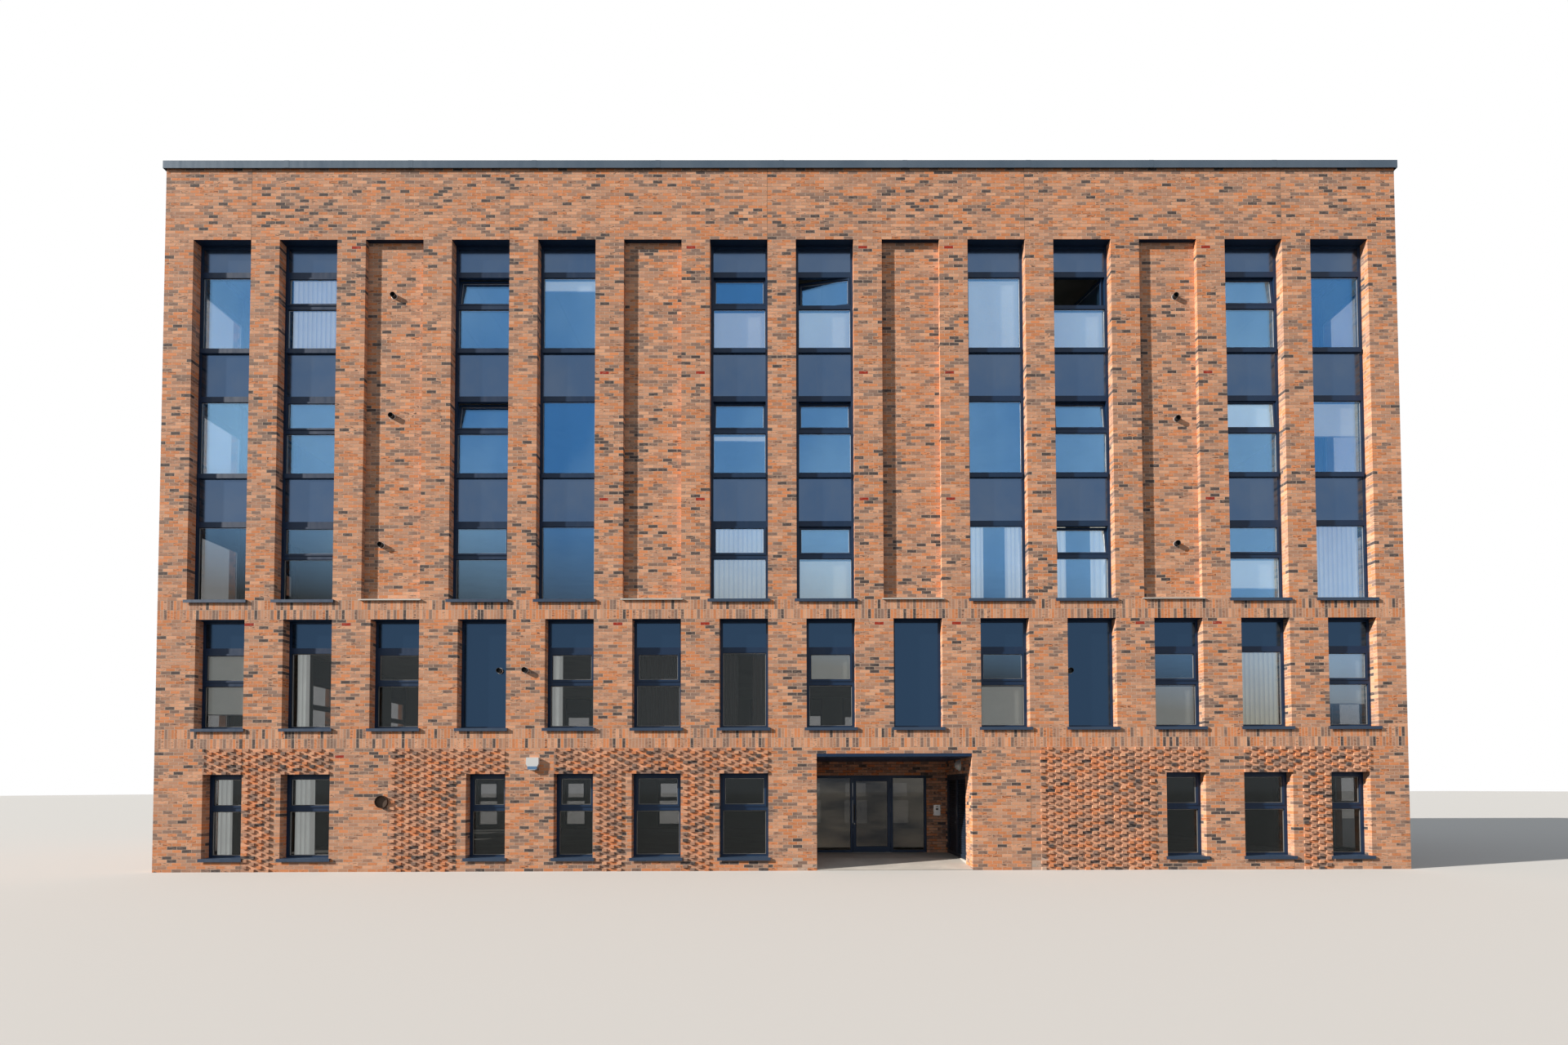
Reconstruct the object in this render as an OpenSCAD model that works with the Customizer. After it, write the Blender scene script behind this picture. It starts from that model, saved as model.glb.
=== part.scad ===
/* [Plan] */
// Bays along the front and the back
bays_long = 14; // [12:1:16]
// Bays along each end wall
bays_short = 7; // [5:1:9]
// Width of one bay, nine bricks with their joints
bay = 2025; // [1950:25:2250]
// Brick pier between two tall window strips
pier_w = 665; // [490:25:790]
// Brick pier between two first floor windows
first_pier_w = 890; // [800:25:1000]
// Thickness of the outside walls
wall_t = 400; // [350:10:450]
/* [Heights] */
// Height from one floor to the next
storey_h = 3000; // [2850:75:3300]
// Tall storeys above the first floor
upper_storeys = 3; // [1:1:4]
// Ground to the underside of the lower soldier band
lower_band_z = 2850; // [2775:75:3150]
// Height of each soldier band, two courses on end
band_h = 450; // [375:75:525]
// Finished ground floor above the ground
ground_floor_z = 150; // [100:10:200]
// Window opening above the floor inside
opening_above_floor = 150; // [100:10:250]
// Thickness of the upper floors and the roof
slab_t = 250; // [200:10:300]
// Head of the tall strips to the top of the coping
parapet_h = 1865; // [1500:5:2300]
/* [Windows] */
// Outside wall face to the outer face of the frames
reveal_d = 215; // [150:5:240]
// Depth of the window frames
frame_d = 80; // [60:5:110]
// Sight width of the window frames
frame_w = 60; // [40:5:80]
// Top of the glass above the opening's foot
glass_top = 1790; // [1600:10:1900]
// Height of the transom over the glass
transom_h = 130; // [90:10:180]
// Foot of the opening light above the opening's foot
vent_foot = 1110; // [1000:10:1300]
// Height of the rail below the opening light
vent_rail_h = 90; // [60:5:120]
// Height of the cill at the foot of each strip window
cill_h = 110; // [80:5:140]
// How far that cill stands out from the frame
cill_out = 40; // [20:5:60]
// Sight width of an opening light's own frame
sash_w = 45; // [30:5:60]
// How far an opening light stands out from the frame
sash_out = 15; // [5:1:30]
// Part of the frame's depth that an opening light fills
sash_share = 0.9; // [0.6:0.05:0.95]
// Thickness of the sealed glass units
glass_t = 28; // [20:1:36]
// Thickness of the opaque panels
panel_t = 50; // [30:5:60]
// How far the panels are set back in the frame
panel_back = 10; // [5:1:25]
// Thickness of the pressed metal of sills and coping
sheet_t = 8; // [5:1:12]
// How far the sills stand out from the wall
sill_out = 45; // [30:5:60]
// How far the sills run past the opening on each side
sill_ear = 45; // [30:5:60]
// Height of the sill's front lip
sill_lip = 70; // [50:5:90]
// Fall of the sill from the frame to the lip
sill_fall = 12; // [6:1:20]
/* [Ground storey] */
// Foot of the ground storey windows above the ground
ground_open_z = 300; // [250:25:450]
// Lower soldier band to the head of these windows
ground_head_drop = 600; // [525:75:750]
// Width of a narrow ground storey window
narrow_w = 910; // [800:10:1000]
// Foot of the opening light in these windows
ground_vent_foot = 1180; // [1000:10:1250]
/* [Blind strips] */
// Depth of the blind brick recesses
blind_d = 112; // [60:1:150]
// Height of the pale flashing at the foot of a recess
flashing_h = 14; // [8:1:25]
// Drop of the flashing's front edge
flashing_lip = 16; // [10:1:30]
/* [Entrance] */
// Bay that the entrance starts in
entrance_bay = 7; // [4:1:8]
// Width of the entrance recess
entrance_w = 3600; // [3300:100:4200]
// Depth of the recess from the wall face to its back wall
entrance_d = 2900; // [2880:10:3400]
// Thickness of the walls round the recess
recess_t = 300; // [200:10:350]
// Lower soldier band to the head of the recess
entrance_drop = 150; // [75:75:300]
// Height of the metal edge along the head of the recess
fascia_h = 70; // [50:5:100]
// Thickness of the soffit lining
soffit_t = 15; // [10:1:30]
// Floor of the recess above the ground at the wall face
ramp_foot = 20; // [10:5:60]
// Length of the ramp in the recess
ramp_l = 1400; // [1200:50:2000]
// Height of the doors' frames above the floor
door_head = 2090; // [2050:10:2200]
// Width of the glazed entrance screen
screen_w = 3080; // [2950:10:3200]
// Width of the screen's left light, frame included
side_light_w = 1070; // [950:10:1150]
// Width of the screen's right light, frame included
right_light_w = 975; // [900:5:1030]
// How far the screen is set back from the back wall face
screen_back = 60; // [30:5:100]
/* [Doors] */
// Thickness of the door leaves
leaf_t = 45; // [40:1:55]
// Width of the entrance door's stiles and top rail
stile_w = 80; // [60:5:100]
// Height of the entrance door's bottom rail
foot_rail_h = 150; // [100:10:220]
// Hinge side and top clearance of a leaf
leaf_gap = 6; // [5:1:8]
// Clearance of a leaf at its free edge
free_gap = 9; // [8:1:12]
// Clearance under a leaf
under_gap = 10; // [8:1:15]
// Hinge pin out from the leaf's outer face
pin_out = 12; // [11:1:16]
// Radius of the hinge knuckles
knuckle_r = 8; // [6:1:9]
// Height of a hinge, of three knuckles
knuckle_h = 150; // [120:5:180]
// Wall face to the front end of the louvred doors' frame
louvre_y = 640; // [560:10:720]
// Length of the louvred doors' frame along the recess
louvre_w = 2170; // [2000:10:2230]
// Sight width of that frame
louvre_frame_w = 50; // [40:5:70]
// Recess face to the outer face of the louvred doors
louvre_back = 25; // [15:5:60]
// Stile and rail width of the louvred leaves
louvre_stile = 85; // [70:5:110]
// Height from one louvre blade to the next
blade_pitch = 55; // [45:5:75]
// Rise of a blade across the leaf
blade_rise = 38; // [30:1:45]
// Thickness of a blade, measured upright
blade_t = 6; // [4:1:9]
/* [Coping] */
// How far the coping stands out from the wall
coping_out = 50; // [35:5:60]
// Height of the coping's outer leg
coping_leg = 180; // [140:5:220]
// Height of the coping's inner leg
coping_inner_leg = 90; // [60:5:140]
// Length of one piece of coping
coping_l = 2980; // [2400:20:4000]
// Joint between two pieces of coping
coping_joint = 6; // [4:1:10]
// Cross fall of the coping towards the roof
coping_fall = 12; // [6:1:20]
/* [Fittings] */
// Radius of the duct terminals
duct_r = 62; // [50:1:80]
// How far the duct terminals stand out
duct_out = 88; // [60:1:90]
// Wall of the duct terminals
duct_t = 6; // [4:1:10]
// Radius of the large louvred vent in the ground storey
big_vent_r = 145; // [120:5:170]
// How far that vent stands out
big_vent_out = 60; // [40:5:80]
// Width of the alarm box
alarm_w = 290; // [240:10:320]
// Depth of the alarm box
alarm_d = 85; // [60:5:90]
// Width of the door entry panel
entry_w = 184; // [140:4:220]
// Height of the door entry panel
entry_h = 290; // [240:10:340]
// Depth of the door entry panel
entry_t = 25; // [15:1:40]
// Radius of the bulkhead light
light_r = 135; // [90:5:150]
// Depth of the bulkhead light
light_t = 130; // [90:5:160]
/* [Hidden] */
// Elevations by number
front = 0;
back = 1;
left = 2;
right = 3;
// Bays whose tall strip is a blind brick recess, by elevation
blind_bays = [[2, 5, 8, 11], [2, 5, 8, 11], [2, 4], [2, 4]];
// Bays whose tall strip has one fixed pane a storey
fixed_bays = [[0, 4, 9, 13], [0, 4, 9, 13], [0, 6], [0, 6]];
// Bays whose first floor opening holds an opaque panel
blank_bays = [[3, 8, 10], [3, 8, 10], [3], [3]];
// Bays whose first floor window has one fixed pane
fixed_first_bays = [[1, 6, 12], [1, 6, 12], [1, 5], [1, 5]];
// Bays with a wide and with a narrow ground storey window
wide_ground_bays = [[1, 5, 6, 12], [1, 5, 6, 9, 12], [1, 5], [1, 5]];
narrow_ground_bays = [[0, 3, 4, 11], [0, 3, 4, 8, 11], [0, 3], [0, 3]];
// Bays whose narrow window keeps to the left of its bay
left_ground_bays = [[13], [13], [6], [6]];
// Opening lights whose head is tilted into the room: bay, tall storey, degrees
tilted_lights = [[3, 2, 9], [3, 1, 10], [6, 2, 5], [6, 1, 6], [7, 1, 7], [7, 0, 4], [10, 1, 7], [10, 0, 8],
    [12, 2, 5], [12, 1, 3]];
// Opening lights turned into the room on their right side: bay, tall storey, degrees
turned_lights = [[7, 2, 10], [10, 2, 72]];
// Duct terminals in the blind recesses: bay, tall storey, place across and up in the storey
blind_ducts = [[2, 0, 0.29, 0.44], [2, 1, 0.45, 0.46], [2, 2, 0.46, 0.42], [11, 0, 0.61, 0.44],
    [11, 1, 0.65, 0.43], [11, 2, 0.65, 0.41]];
// Duct terminals on blank first floor panels and on the pier beside one: bay, place across and up
blank_ducts = [[3, 0.79, 0.54], [10, 0.115, 0.53]];
pier_ducts = [[3, 0.50, 0.53]];
// Clearance of pieces that are seated in one another
seat = 0.3;
// How far a cut runs past the face it goes through
cut = 5;
// Sizes that follow from those above
front_w = bays_long * bay + pier_w;
depth = bays_short * bay + pier_w;
window_h = storey_h - band_h;
first_z = lower_band_z + band_h;
upper_z = first_z + storey_h;
upper_h = (upper_storeys - 1) * storey_h + window_h;
first_floor_z = first_z - opening_above_floor;
roof_z = first_floor_z + (upper_storeys + 1) * storey_h;
top_z = upper_z + upper_h + parapet_h;
coping_half = wall_t / 2 + coping_out;
coping_in = coping_half - sheet_t;
wall_top = top_z - sheet_t - coping_fall * (coping_in + wall_t / 2) / (2 * coping_in) - seat;
ground_h = lower_band_z - ground_head_drop - ground_open_z;
first_w = bay - first_pier_w;
strip_w = bay - pier_w;
entrance_x1 = (entrance_bay + 2) * bay + pier_w;
entrance_x0 = entrance_x1 - entrance_w;
entrance_z = lower_band_z - entrance_drop;
soffit_z = entrance_z - fascia_h;
recess_end = entrance_d + recess_t;
head_z = ground_floor_z + door_head;
under_first = first_floor_z - slab_t;
screen_y = entrance_d + screen_back;
door_x0 = entrance_x0 + side_light_w;
door_x1 = entrance_x0 + screen_w - right_light_w;
louvre_end = louvre_y + louvre_w;
louvre_leaf = (louvre_w - 2 * louvre_frame_w - 2 * leaf_gap - free_gap) / 2;
louvre_x = entrance_x1 + louvre_back;

function bays(e) = e < left ? bays_long : bays_short;
function has(list, i) = len([for (k = list) if (k == i) k]) > 0;
function is_blind(e, i) = has(blind_bays[e], i);
function is_split(e, i) = !is_blind(e, i) && !has(fixed_bays[e], i);
function is_ground(e, i) = has(wide_ground_bays[e], i) || has(narrow_ground_bays[e], i)
    || has(left_ground_bays[e], i);
function ground_w(e, i) = has(wide_ground_bays[e], i) ? first_w : narrow_w;
function ground_u(e, i) = has(left_ground_bays[e], i) ? i * bay + first_pier_w
    : (i + 1) * bay - ground_w(e, i);
function angle_in(list, e, i, s) = e != front ? 0
    : max([0, for (o = list) if (o[0] == i && o[1] == s) o[2]]);

// Places a wall drawn with its outer face at y = 0, seen from outside
module on(e) {
    turn = [0, 180, -90, 90][e];
    run = e < left ? front_w : depth;
    off = e < left ? depth : front_w;
    rotate(turn) translate([-run / 2, -off / 2, 0]) children();
}

module block(x0, x1, y0, y1, z0, z1) {
    translate([x0, y0, z0]) cube([x1 - x0, y1 - y0, z1 - z0]);
}

// The openings of one elevation, as the solids that are cut away
module upper_cuts(e) {
    for (i = [0 : bays(e) - 1]) {
        u = i * bay + pier_w;
        back_y = is_blind(e, i) ? blind_d : wall_t + cut;
        block(u, u + strip_w, -cut, back_y, upper_z, upper_z + upper_h);
    }
}

module first_cuts(e) {
    for (i = [0 : bays(e) - 1])
        block(i * bay + first_pier_w, (i + 1) * bay, -cut, wall_t + cut, first_z, first_z + window_h);
}

module ground_cuts(e) {
    for (i = [0 : bays(e) - 1]) if (is_ground(e, i)) {
        u = ground_u(e, i);
        block(u, u + ground_w(e, i), -cut, wall_t + cut, ground_open_z, ground_open_z + ground_h);
    }
}

module whole_wall(e) {
    inset = e < left ? 0 : wall_t;
    run = e < left ? front_w : depth;
    color("sienna") on(e) difference() {
        block(inset, run - inset, 0, wall_t, 0, wall_top);
        upper_cuts(e);
        first_cuts(e);
        ground_cuts(e);
    }
}

module front_ground_wall_left() {
    color("sienna") on(front) difference() {
        block(0, entrance_x0, 0, wall_t, 0, lower_band_z);
        ground_cuts(front);
    }
}

module front_ground_wall_right() {
    color("sienna") on(front) difference() {
        block(entrance_x1, front_w, 0, wall_t, 0, lower_band_z);
        ground_cuts(front);
    }
}

module entrance_lintel() {
    color("sienna") on(front) block(entrance_x0, entrance_x1, 0, wall_t, entrance_z, lower_band_z);
}

module front_first_floor_wall() {
    color("peru") on(front) difference() {
        block(0, front_w, 0, wall_t, lower_band_z, upper_z);
        first_cuts(front);
    }
}

module front_upper_wall() {
    color("sienna") on(front) difference() {
        block(0, front_w, 0, wall_t, upper_z, wall_top);
        upper_cuts(front);
    }
}

// Floors and roof, between the inner faces of the walls
module slab(z1, t) {
    color("silver") on(front) block(wall_t, front_w - wall_t, wall_t, depth - wall_t, z1 - t, z1);
}

module ground_slab() {
    color("silver") on(front)
        block(wall_t, front_w - wall_t, recess_end, depth - wall_t, 0, ground_floor_z);
}

module ground_slab_wings() {
    color("silver") on(front) {
        block(wall_t, entrance_x0 - recess_t, wall_t, recess_end, 0, ground_floor_z);
        block(entrance_x1 + recess_t, front_w - wall_t, wall_t, recess_end, 0, ground_floor_z);
    }
}

// Coping: a pressed cap over the parapet in lengths with open joints
module coping_profile() {
    polygon([
        [-coping_half, -coping_leg], [-coping_in, -coping_leg], [-coping_in, -sheet_t],
        [coping_in, -sheet_t - coping_fall], [coping_in, -coping_inner_leg],
        [coping_half, -coping_inner_leg], [coping_half, -coping_fall], [-coping_half, 0]
    ]);
}

// Closes the end of a run at a corner
module coping_end() {
    polygon([
        [-coping_half, -coping_leg], [coping_half, -coping_leg], [coping_half, -coping_fall], [-coping_half, 0]
    ]);
}

module along_wall(u) {
    translate([u, wall_t / 2, top_z]) rotate([90, 0, 90]) children();
}

module coping_run(u0, u1) {
    n = ceil((u1 - u0) / coping_l);
    step = (u1 - u0) / n;
    for (i = [0 : n - 1]) {
        a = u0 + i * step + (i > 0 ? coping_joint / 2 : 0);
        b = u0 + (i + 1) * step - (i < n - 1 ? coping_joint / 2 : 0);
        along_wall(a) linear_extrude(b - a) coping_profile();
    }
}

module coping_long() {
    corner = wall_t + coping_out;
    difference() {
        union() {
            coping_run(-coping_out, front_w + coping_out);
            for (u = [-coping_out, front_w + coping_out - sheet_t])
                along_wall(u) linear_extrude(sheet_t) coping_end();
        }
        for (u = [-coping_out + sheet_t, front_w - corner])
            block(u, u + corner + coping_out - sheet_t, wall_t - seat, corner + cut,
                top_z - coping_leg - cut, wall_top + seat);
    }
}

module coping() {
    corner = wall_t + coping_out + coping_joint;
    color("slategray") {
        for (e = [front, back]) on(e) coping_long();
        for (e = [left, right]) on(e) coping_run(corner, depth - corner);
    }
}

// Window parts, drawn in an opening whose foot is at the origin
function lights(split, foot) = split
    ? [[frame_w, foot - vent_rail_h], [foot, glass_top]] : [[frame_w, glass_top]];

module holes(w, list, edge) {
    for (z = list) block(edge, w - edge, -cut, frame_d + cut, z[0], z[1]);
}

module frame(w, h, list) {
    difference() {
        block(seat, w - seat, 0, frame_d, seat, h - seat);
        holes(w, list, frame_w);
    }
}

// An opening light: shut, tilted in on its foot, or turned in on its right side
module sash_place(w, z, tilt, turn) {
    sw = w - 2 * frame_w - 2 * seat;
    pivot = frame_d * sash_share;
    translate([frame_w + seat, 0, z[0] + seat]) {
        if (turn > 0) translate([sw, pivot, 0]) rotate([0, 0, -turn]) translate([-sw, -pivot, 0]) children();
        else if (tilt > 0) translate([0, pivot, 0]) rotate([-tilt, 0, 0]) translate([0, -pivot, 0]) children();
        else translate([0, -sash_out, 0]) children();
    }
}

// A tilted light is made lower, so that its head clears the frame
function sash_h(z, tilt) = z[1] - z[0] - 2 * seat - frame_d * sash_share * sin(tilt);

module sash(w, z, tilt = 0, turn = 0) {
    sw = w - 2 * frame_w - 2 * seat;
    sh = sash_h(z, tilt);
    sash_place(w, z, tilt, turn) difference() {
        cube([sw, frame_d * sash_share, sh]);
        block(sash_w, sw - sash_w, -cut, frame_d + cut, sash_w, sh - sash_w);
    }
}

module sash_glass(w, z, tilt = 0, turn = 0) {
    sw = w - 2 * frame_w - 2 * seat;
    sh = sash_h(z, tilt);
    y = (frame_d * sash_share - glass_t) / 2;
    sash_place(w, z, tilt, turn)
        block(sash_w + seat, sw - sash_w - seat, y, y + glass_t, sash_w + seat, sh - sash_w - seat);
}

module pane(w, z) {
    y = (frame_d - glass_t) / 2;
    block(frame_w + seat, w - frame_w - seat, y, y + glass_t, z[0] + seat, z[1] - seat);
}

module panel(w, z) {
    block(frame_w + seat, w - frame_w - seat, panel_back, panel_back + panel_t, z[0] + seat, z[1] - seat);
}

function panel_span(s) = [glass_top + transom_h,
    s < upper_storeys - 1 ? storey_h + frame_w - cill_h : window_h - frame_w];

module strip_frame(e, i) {
    storeys = [0 : upper_storeys - 1];
    split = is_split(e, i);
    list = [for (s = storeys) each [for (z = concat(lights(split, vent_foot), [panel_span(s)]))
        [z[0] + s * storey_h, z[1] + s * storey_h]]];
    frame(strip_w, upper_h, list);
    if (upper_storeys > 1) for (s = [1 : upper_storeys - 1])
        block(frame_w, strip_w - frame_w, -cill_out, 0, s * storey_h + frame_w - cill_h, s * storey_h + frame_w);
}

module strip(e, i, what) {
    split = is_split(e, i);
    list = lights(split, vent_foot);
    translate([i * bay + pier_w, reveal_d, upper_z]) {
        if (what == "frames") union() strip_frame(e, i);
        for (s = [0 : upper_storeys - 1]) translate([0, 0, s * storey_h]) {
            tilt = angle_in(tilted_lights, e, i, s);
            turn = angle_in(turned_lights, e, i, s);
            if (what == "frames" && split) sash(strip_w, list[1], tilt, turn);
            if (what == "glass" && split) sash_glass(strip_w, list[1], tilt, turn);
            if (what == "glass") pane(strip_w, list[0]);
            if (what == "panels") panel(strip_w, panel_span(s));
        }
    }
}

module first_window(e, i, what) {
    blank = has(blank_bays[e], i);
    split = !blank && !has(fixed_first_bays[e], i);
    list = blank ? [[frame_w, window_h - frame_w]] : lights(split, vent_foot);
    head = panel_span(upper_storeys - 1);
    translate([i * bay + first_pier_w, reveal_d, first_z]) {
        if (what == "frames") frame(first_w, window_h, blank ? list : concat(list, [head]));
        if (what == "frames" && split) sash(first_w, list[1]);
        if (what == "glass" && split) sash_glass(first_w, list[1]);
        if (what == "glass" && !blank) pane(first_w, list[0]);
        if (what == "panels") panel(first_w, blank ? list[0] : head);
    }
}

module ground_window(e, i, what) {
    w = ground_w(e, i);
    list = [[frame_w, ground_vent_foot - vent_rail_h], [ground_vent_foot, ground_h - frame_w]];
    translate([ground_u(e, i), reveal_d, ground_open_z]) {
        if (what == "frames") frame(w, ground_h, list);
        if (what == "frames") sash(w, list[1]);
        if (what == "glass") sash_glass(w, list[1]);
        if (what == "glass") pane(w, list[0]);
    }
}

module windows(e, what) {
    on(e) for (i = [0 : bays(e) - 1]) {
        if (!is_blind(e, i)) strip(e, i, what);
        first_window(e, i, what);
        if (is_ground(e, i)) ground_window(e, i, what);
    }
}

// Pressed metal sill on the foot of an opening, with a lip in front of the wall
module sill(w) {
    translate([seat, 0, seat]) rotate([90, 0, 90]) linear_extrude(w - 2 * seat) polygon([
        [reveal_d - seat, 0], [reveal_d - seat, sheet_t + sill_fall], [0, sheet_t], [0, 0]
    ]);
    translate([-sill_ear, 0, seat]) rotate([90, 0, 90]) linear_extrude(w + 2 * sill_ear) polygon([
        [0, 0], [0, sheet_t], [-sill_out, sheet_t], [-sill_out, sheet_t - sill_lip],
        [-sill_out + sheet_t, sheet_t - sill_lip], [-sill_out + sheet_t, 0]
    ]);
}

module sills(e) {
    on(e) for (i = [0 : bays(e) - 1]) {
        if (!is_blind(e, i)) translate([i * bay + pier_w, 0, upper_z]) sill(strip_w);
        translate([i * bay + first_pier_w, 0, first_z]) sill(first_w);
        if (is_ground(e, i)) translate([ground_u(e, i), 0, ground_open_z]) sill(ground_w(e, i));
    }
}

module window_sills() {
    color("darkslategray") for (e = [front, back, left, right]) sills(e);
}

module recess_flashings() {
    color("gainsboro") for (e = [front, back, left, right]) on(e) for (i = blind_bays[e])
        if (i < bays(e)) translate([i * bay + pier_w, 0, upper_z + seat]) {
            block(seat, strip_w - seat, 0, blind_d - seat, 0, flashing_h);
            block(-sill_ear, strip_w + sill_ear, -sill_out, 0, 0, flashing_h);
            block(-sill_ear, strip_w + sill_ear, -sill_out, sheet_t - sill_out, -flashing_lip, 0);
        }
}

// Entrance recess
module recess_left_wall() {
    color("sienna") on(front)
        block(entrance_x0 - recess_t, entrance_x0, wall_t, recess_end, 0, under_first);
}

module recess_right_jambs() {
    color("sienna") on(front) {
        block(entrance_x1, entrance_x1 + recess_t, wall_t, louvre_y, 0, under_first);
        block(entrance_x1, entrance_x1 + recess_t, louvre_end, recess_end, 0, under_first);
    }
}

module recess_right_head() {
    color("sienna") on(front)
        block(entrance_x1, entrance_x1 + recess_t, louvre_y, louvre_end, head_z, under_first);
}

module recess_back_head() {
    color("sienna") on(front)
        block(entrance_x0, entrance_x1, entrance_d, recess_end, head_z, under_first);
}

module recess_back_pier() {
    color("sienna") on(front)
        block(entrance_x0 + screen_w, entrance_x1, entrance_d, recess_end, ground_floor_z, head_z);
}

module recess_soffit() {
    color("dimgray") on(front) {
        block(entrance_x0 + seat, entrance_x1 - seat, 0, entrance_d - seat, soffit_z, soffit_z + soffit_t);
        block(entrance_x0 + seat, entrance_x1 - seat, 0, soffit_t, soffit_z, entrance_z - seat);
    }
}

// Ramp and landing of the recess, with the threshold under the louvred doors
module recess_floor() {
    color("darkgray") on(front) {
        translate([entrance_x0, 0, 0]) rotate([90, 0, 90]) linear_extrude(entrance_w) polygon([
            [0, 0], [0, ramp_foot], [ramp_l, ground_floor_z], [recess_end, ground_floor_z], [recess_end, 0]
        ]);
        block(entrance_x1, entrance_x1 + recess_t, louvre_y, louvre_end, 0, ground_floor_z);
    }
}

module screen_light(w) {
    difference() {
        block(seat, w, 0, frame_d, seat, door_head - seat);
        block(frame_w, w - frame_w, -cut, frame_d + cut, frame_w, door_head - frame_w);
    }
}

module screen_pane(w) {
    y = (frame_d - glass_t) / 2;
    block(frame_w + seat, w - frame_w - seat, y, y + glass_t, frame_w + seat, door_head - frame_w - seat);
}

module entrance_screen() {
    color("darkslategray") {
        on(front) {
            translate([entrance_x0, screen_y, ground_floor_z]) screen_light(side_light_w);
            translate([entrance_x0 + screen_w, screen_y, ground_floor_z]) mirror([1, 0, 0])
                screen_light(right_light_w);
        }
        at_door() translate([door_w + leaf_gap / 2, -pin_out, 0]) frame_knuckles(door_h, flap_w);
    }
}

module entrance_screen_head() {
    color("darkslategray") on(front)
        block(door_x0 + seat, door_x1 - seat, screen_y, screen_y + frame_d, head_z - frame_w, head_z - seat);
}

module entrance_screen_glass() {
    color("lightblue", 0.5) on(front) {
        translate([entrance_x0, screen_y, ground_floor_z]) screen_pane(side_light_w);
        translate([door_x1, screen_y, ground_floor_z]) screen_pane(right_light_w);
    }
}

// Hinges up a leaf, as shares of its height, and the reach of their flaps from the pin
hinge_places = [0.1, 0.5, 0.9];
flap_w = 30;

// Entrance door, hung on its right stile and opening out
door_w = door_x1 - door_x0 - leaf_gap - free_gap;
door_h = door_head - frame_w - leaf_gap - under_gap;

module at_door() {
    on(front) translate([door_x0 + free_gap, screen_y, ground_floor_z + under_gap]) children();
}

// Three hinges drawn on their axis: the leaf's knuckle and flap, or the frame's pair
module leaf_knuckles(h, flap) {
    k = knuckle_h / 6 - seat;
    for (z = hinge_places) translate([0, 0, z * h]) {
        translate([0, 0, -k]) cylinder(h = 2 * k, r = knuckle_r);
        block(flap < 0 ? flap : 0, flap < 0 ? 0 : flap, 0, pin_out, -k, k);
    }
}

module frame_knuckles(h, flap) {
    k = knuckle_h / 3;
    for (z = hinge_places) for (side = [-k, k]) translate([0, 0, z * h + side - k / 2]) {
        cylinder(h = k, r = knuckle_r);
        block(flap < 0 ? flap : 0, flap < 0 ? 0 : flap, 0, pin_out, 0, k);
    }
}

module entrance_door() {
    color("darkslategray") at_door() {
        difference() {
            cube([door_w, leaf_t, door_h]);
            block(stile_w, door_w - stile_w, -cut, leaf_t + cut, foot_rail_h, door_h - stile_w);
        }
        translate([door_w + leaf_gap / 2, -pin_out, 0]) leaf_knuckles(door_h, -flap_w);
    }
}

module entrance_door_glass() {
    y = (leaf_t - glass_t) / 2;
    color("lightblue", 0.5) at_door()
        block(stile_w + seat, door_w - stile_w - seat, y, y + glass_t, foot_rail_h + seat,
            door_h - stile_w - seat);
}

// Upright pull bar on two posts
bar_r = 15;
bar_out = 55;
bar_h = 450;
bar_z = 850;

module pull_bar(h) {
    translate([0, -bar_out, 0]) cylinder(h = h, r = bar_r);
    for (z = [0.15, 0.85]) translate([0, -seat, z * h]) rotate([90, 0, 0])
        cylinder(h = bar_out - seat, r = bar_r * 0.6);
}

module entrance_door_handle() {
    color("silver") at_door() translate([stile_w / 2, 0, bar_z]) pull_bar(bar_h);
}

// Louvred pair in the right wall of the recess, drawn with the leaf along x
module on_recess_right(y) {
    on(front) translate([louvre_x, y, ground_floor_z]) children();
}

louvre_h = door_head - louvre_frame_w - leaf_gap - under_gap;

module louvre_leaf_shape() {
    h = louvre_h;
    n = floor((h - 2 * louvre_stile - blade_rise) / blade_pitch);
    difference() {
        cube([louvre_leaf, leaf_t, h]);
        block(louvre_stile, louvre_leaf - louvre_stile, -cut, leaf_t + cut, louvre_stile, h - louvre_stile);
    }
    for (k = [0 : n]) translate([louvre_stile - cut, 0, louvre_stile + k * blade_pitch - blade_t / 2])
        rotate([90, 0, 90]) linear_extrude(louvre_leaf - 2 * louvre_stile + 2 * cut) polygon([
            [cut, 0], [leaf_t - cut, blade_rise], [leaf_t - cut, blade_rise + blade_t], [cut, blade_t]
        ]);
    translate([-leaf_gap / 2, -pin_out, 0]) leaf_knuckles(h, flap_w);
}

// The leaf's outer face looks into the recess, and its hinges lie at the ends of the pair
module at_front_leaf() {
    on_recess_right(louvre_y + louvre_frame_w + leaf_gap)
        translate([0, 0, under_gap]) rotate(90) mirror([0, 1, 0]) children();
}

module at_rear_leaf() {
    on_recess_right(louvre_end - louvre_frame_w - leaf_gap)
        translate([0, 0, under_gap]) rotate(-90) children();
}

module louvre_door_front() {
    color("dimgray") at_front_leaf() louvre_leaf_shape();
}

module louvre_door_rear() {
    color("dimgray") at_rear_leaf() louvre_leaf_shape();
}

module louvre_frame_jambs() {
    color("dimgray") {
        on_recess_right(0) {
            block(0, frame_d, louvre_y + seat, louvre_y + louvre_frame_w, seat, door_head - seat);
            block(0, frame_d, louvre_end - louvre_frame_w, louvre_end - seat, seat, door_head - seat);
        }
        at_front_leaf() translate([-leaf_gap / 2, -pin_out, 0]) frame_knuckles(louvre_h, -flap_w);
        at_rear_leaf() translate([-leaf_gap / 2, -pin_out, 0]) frame_knuckles(louvre_h, -flap_w);
    }
}

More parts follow.
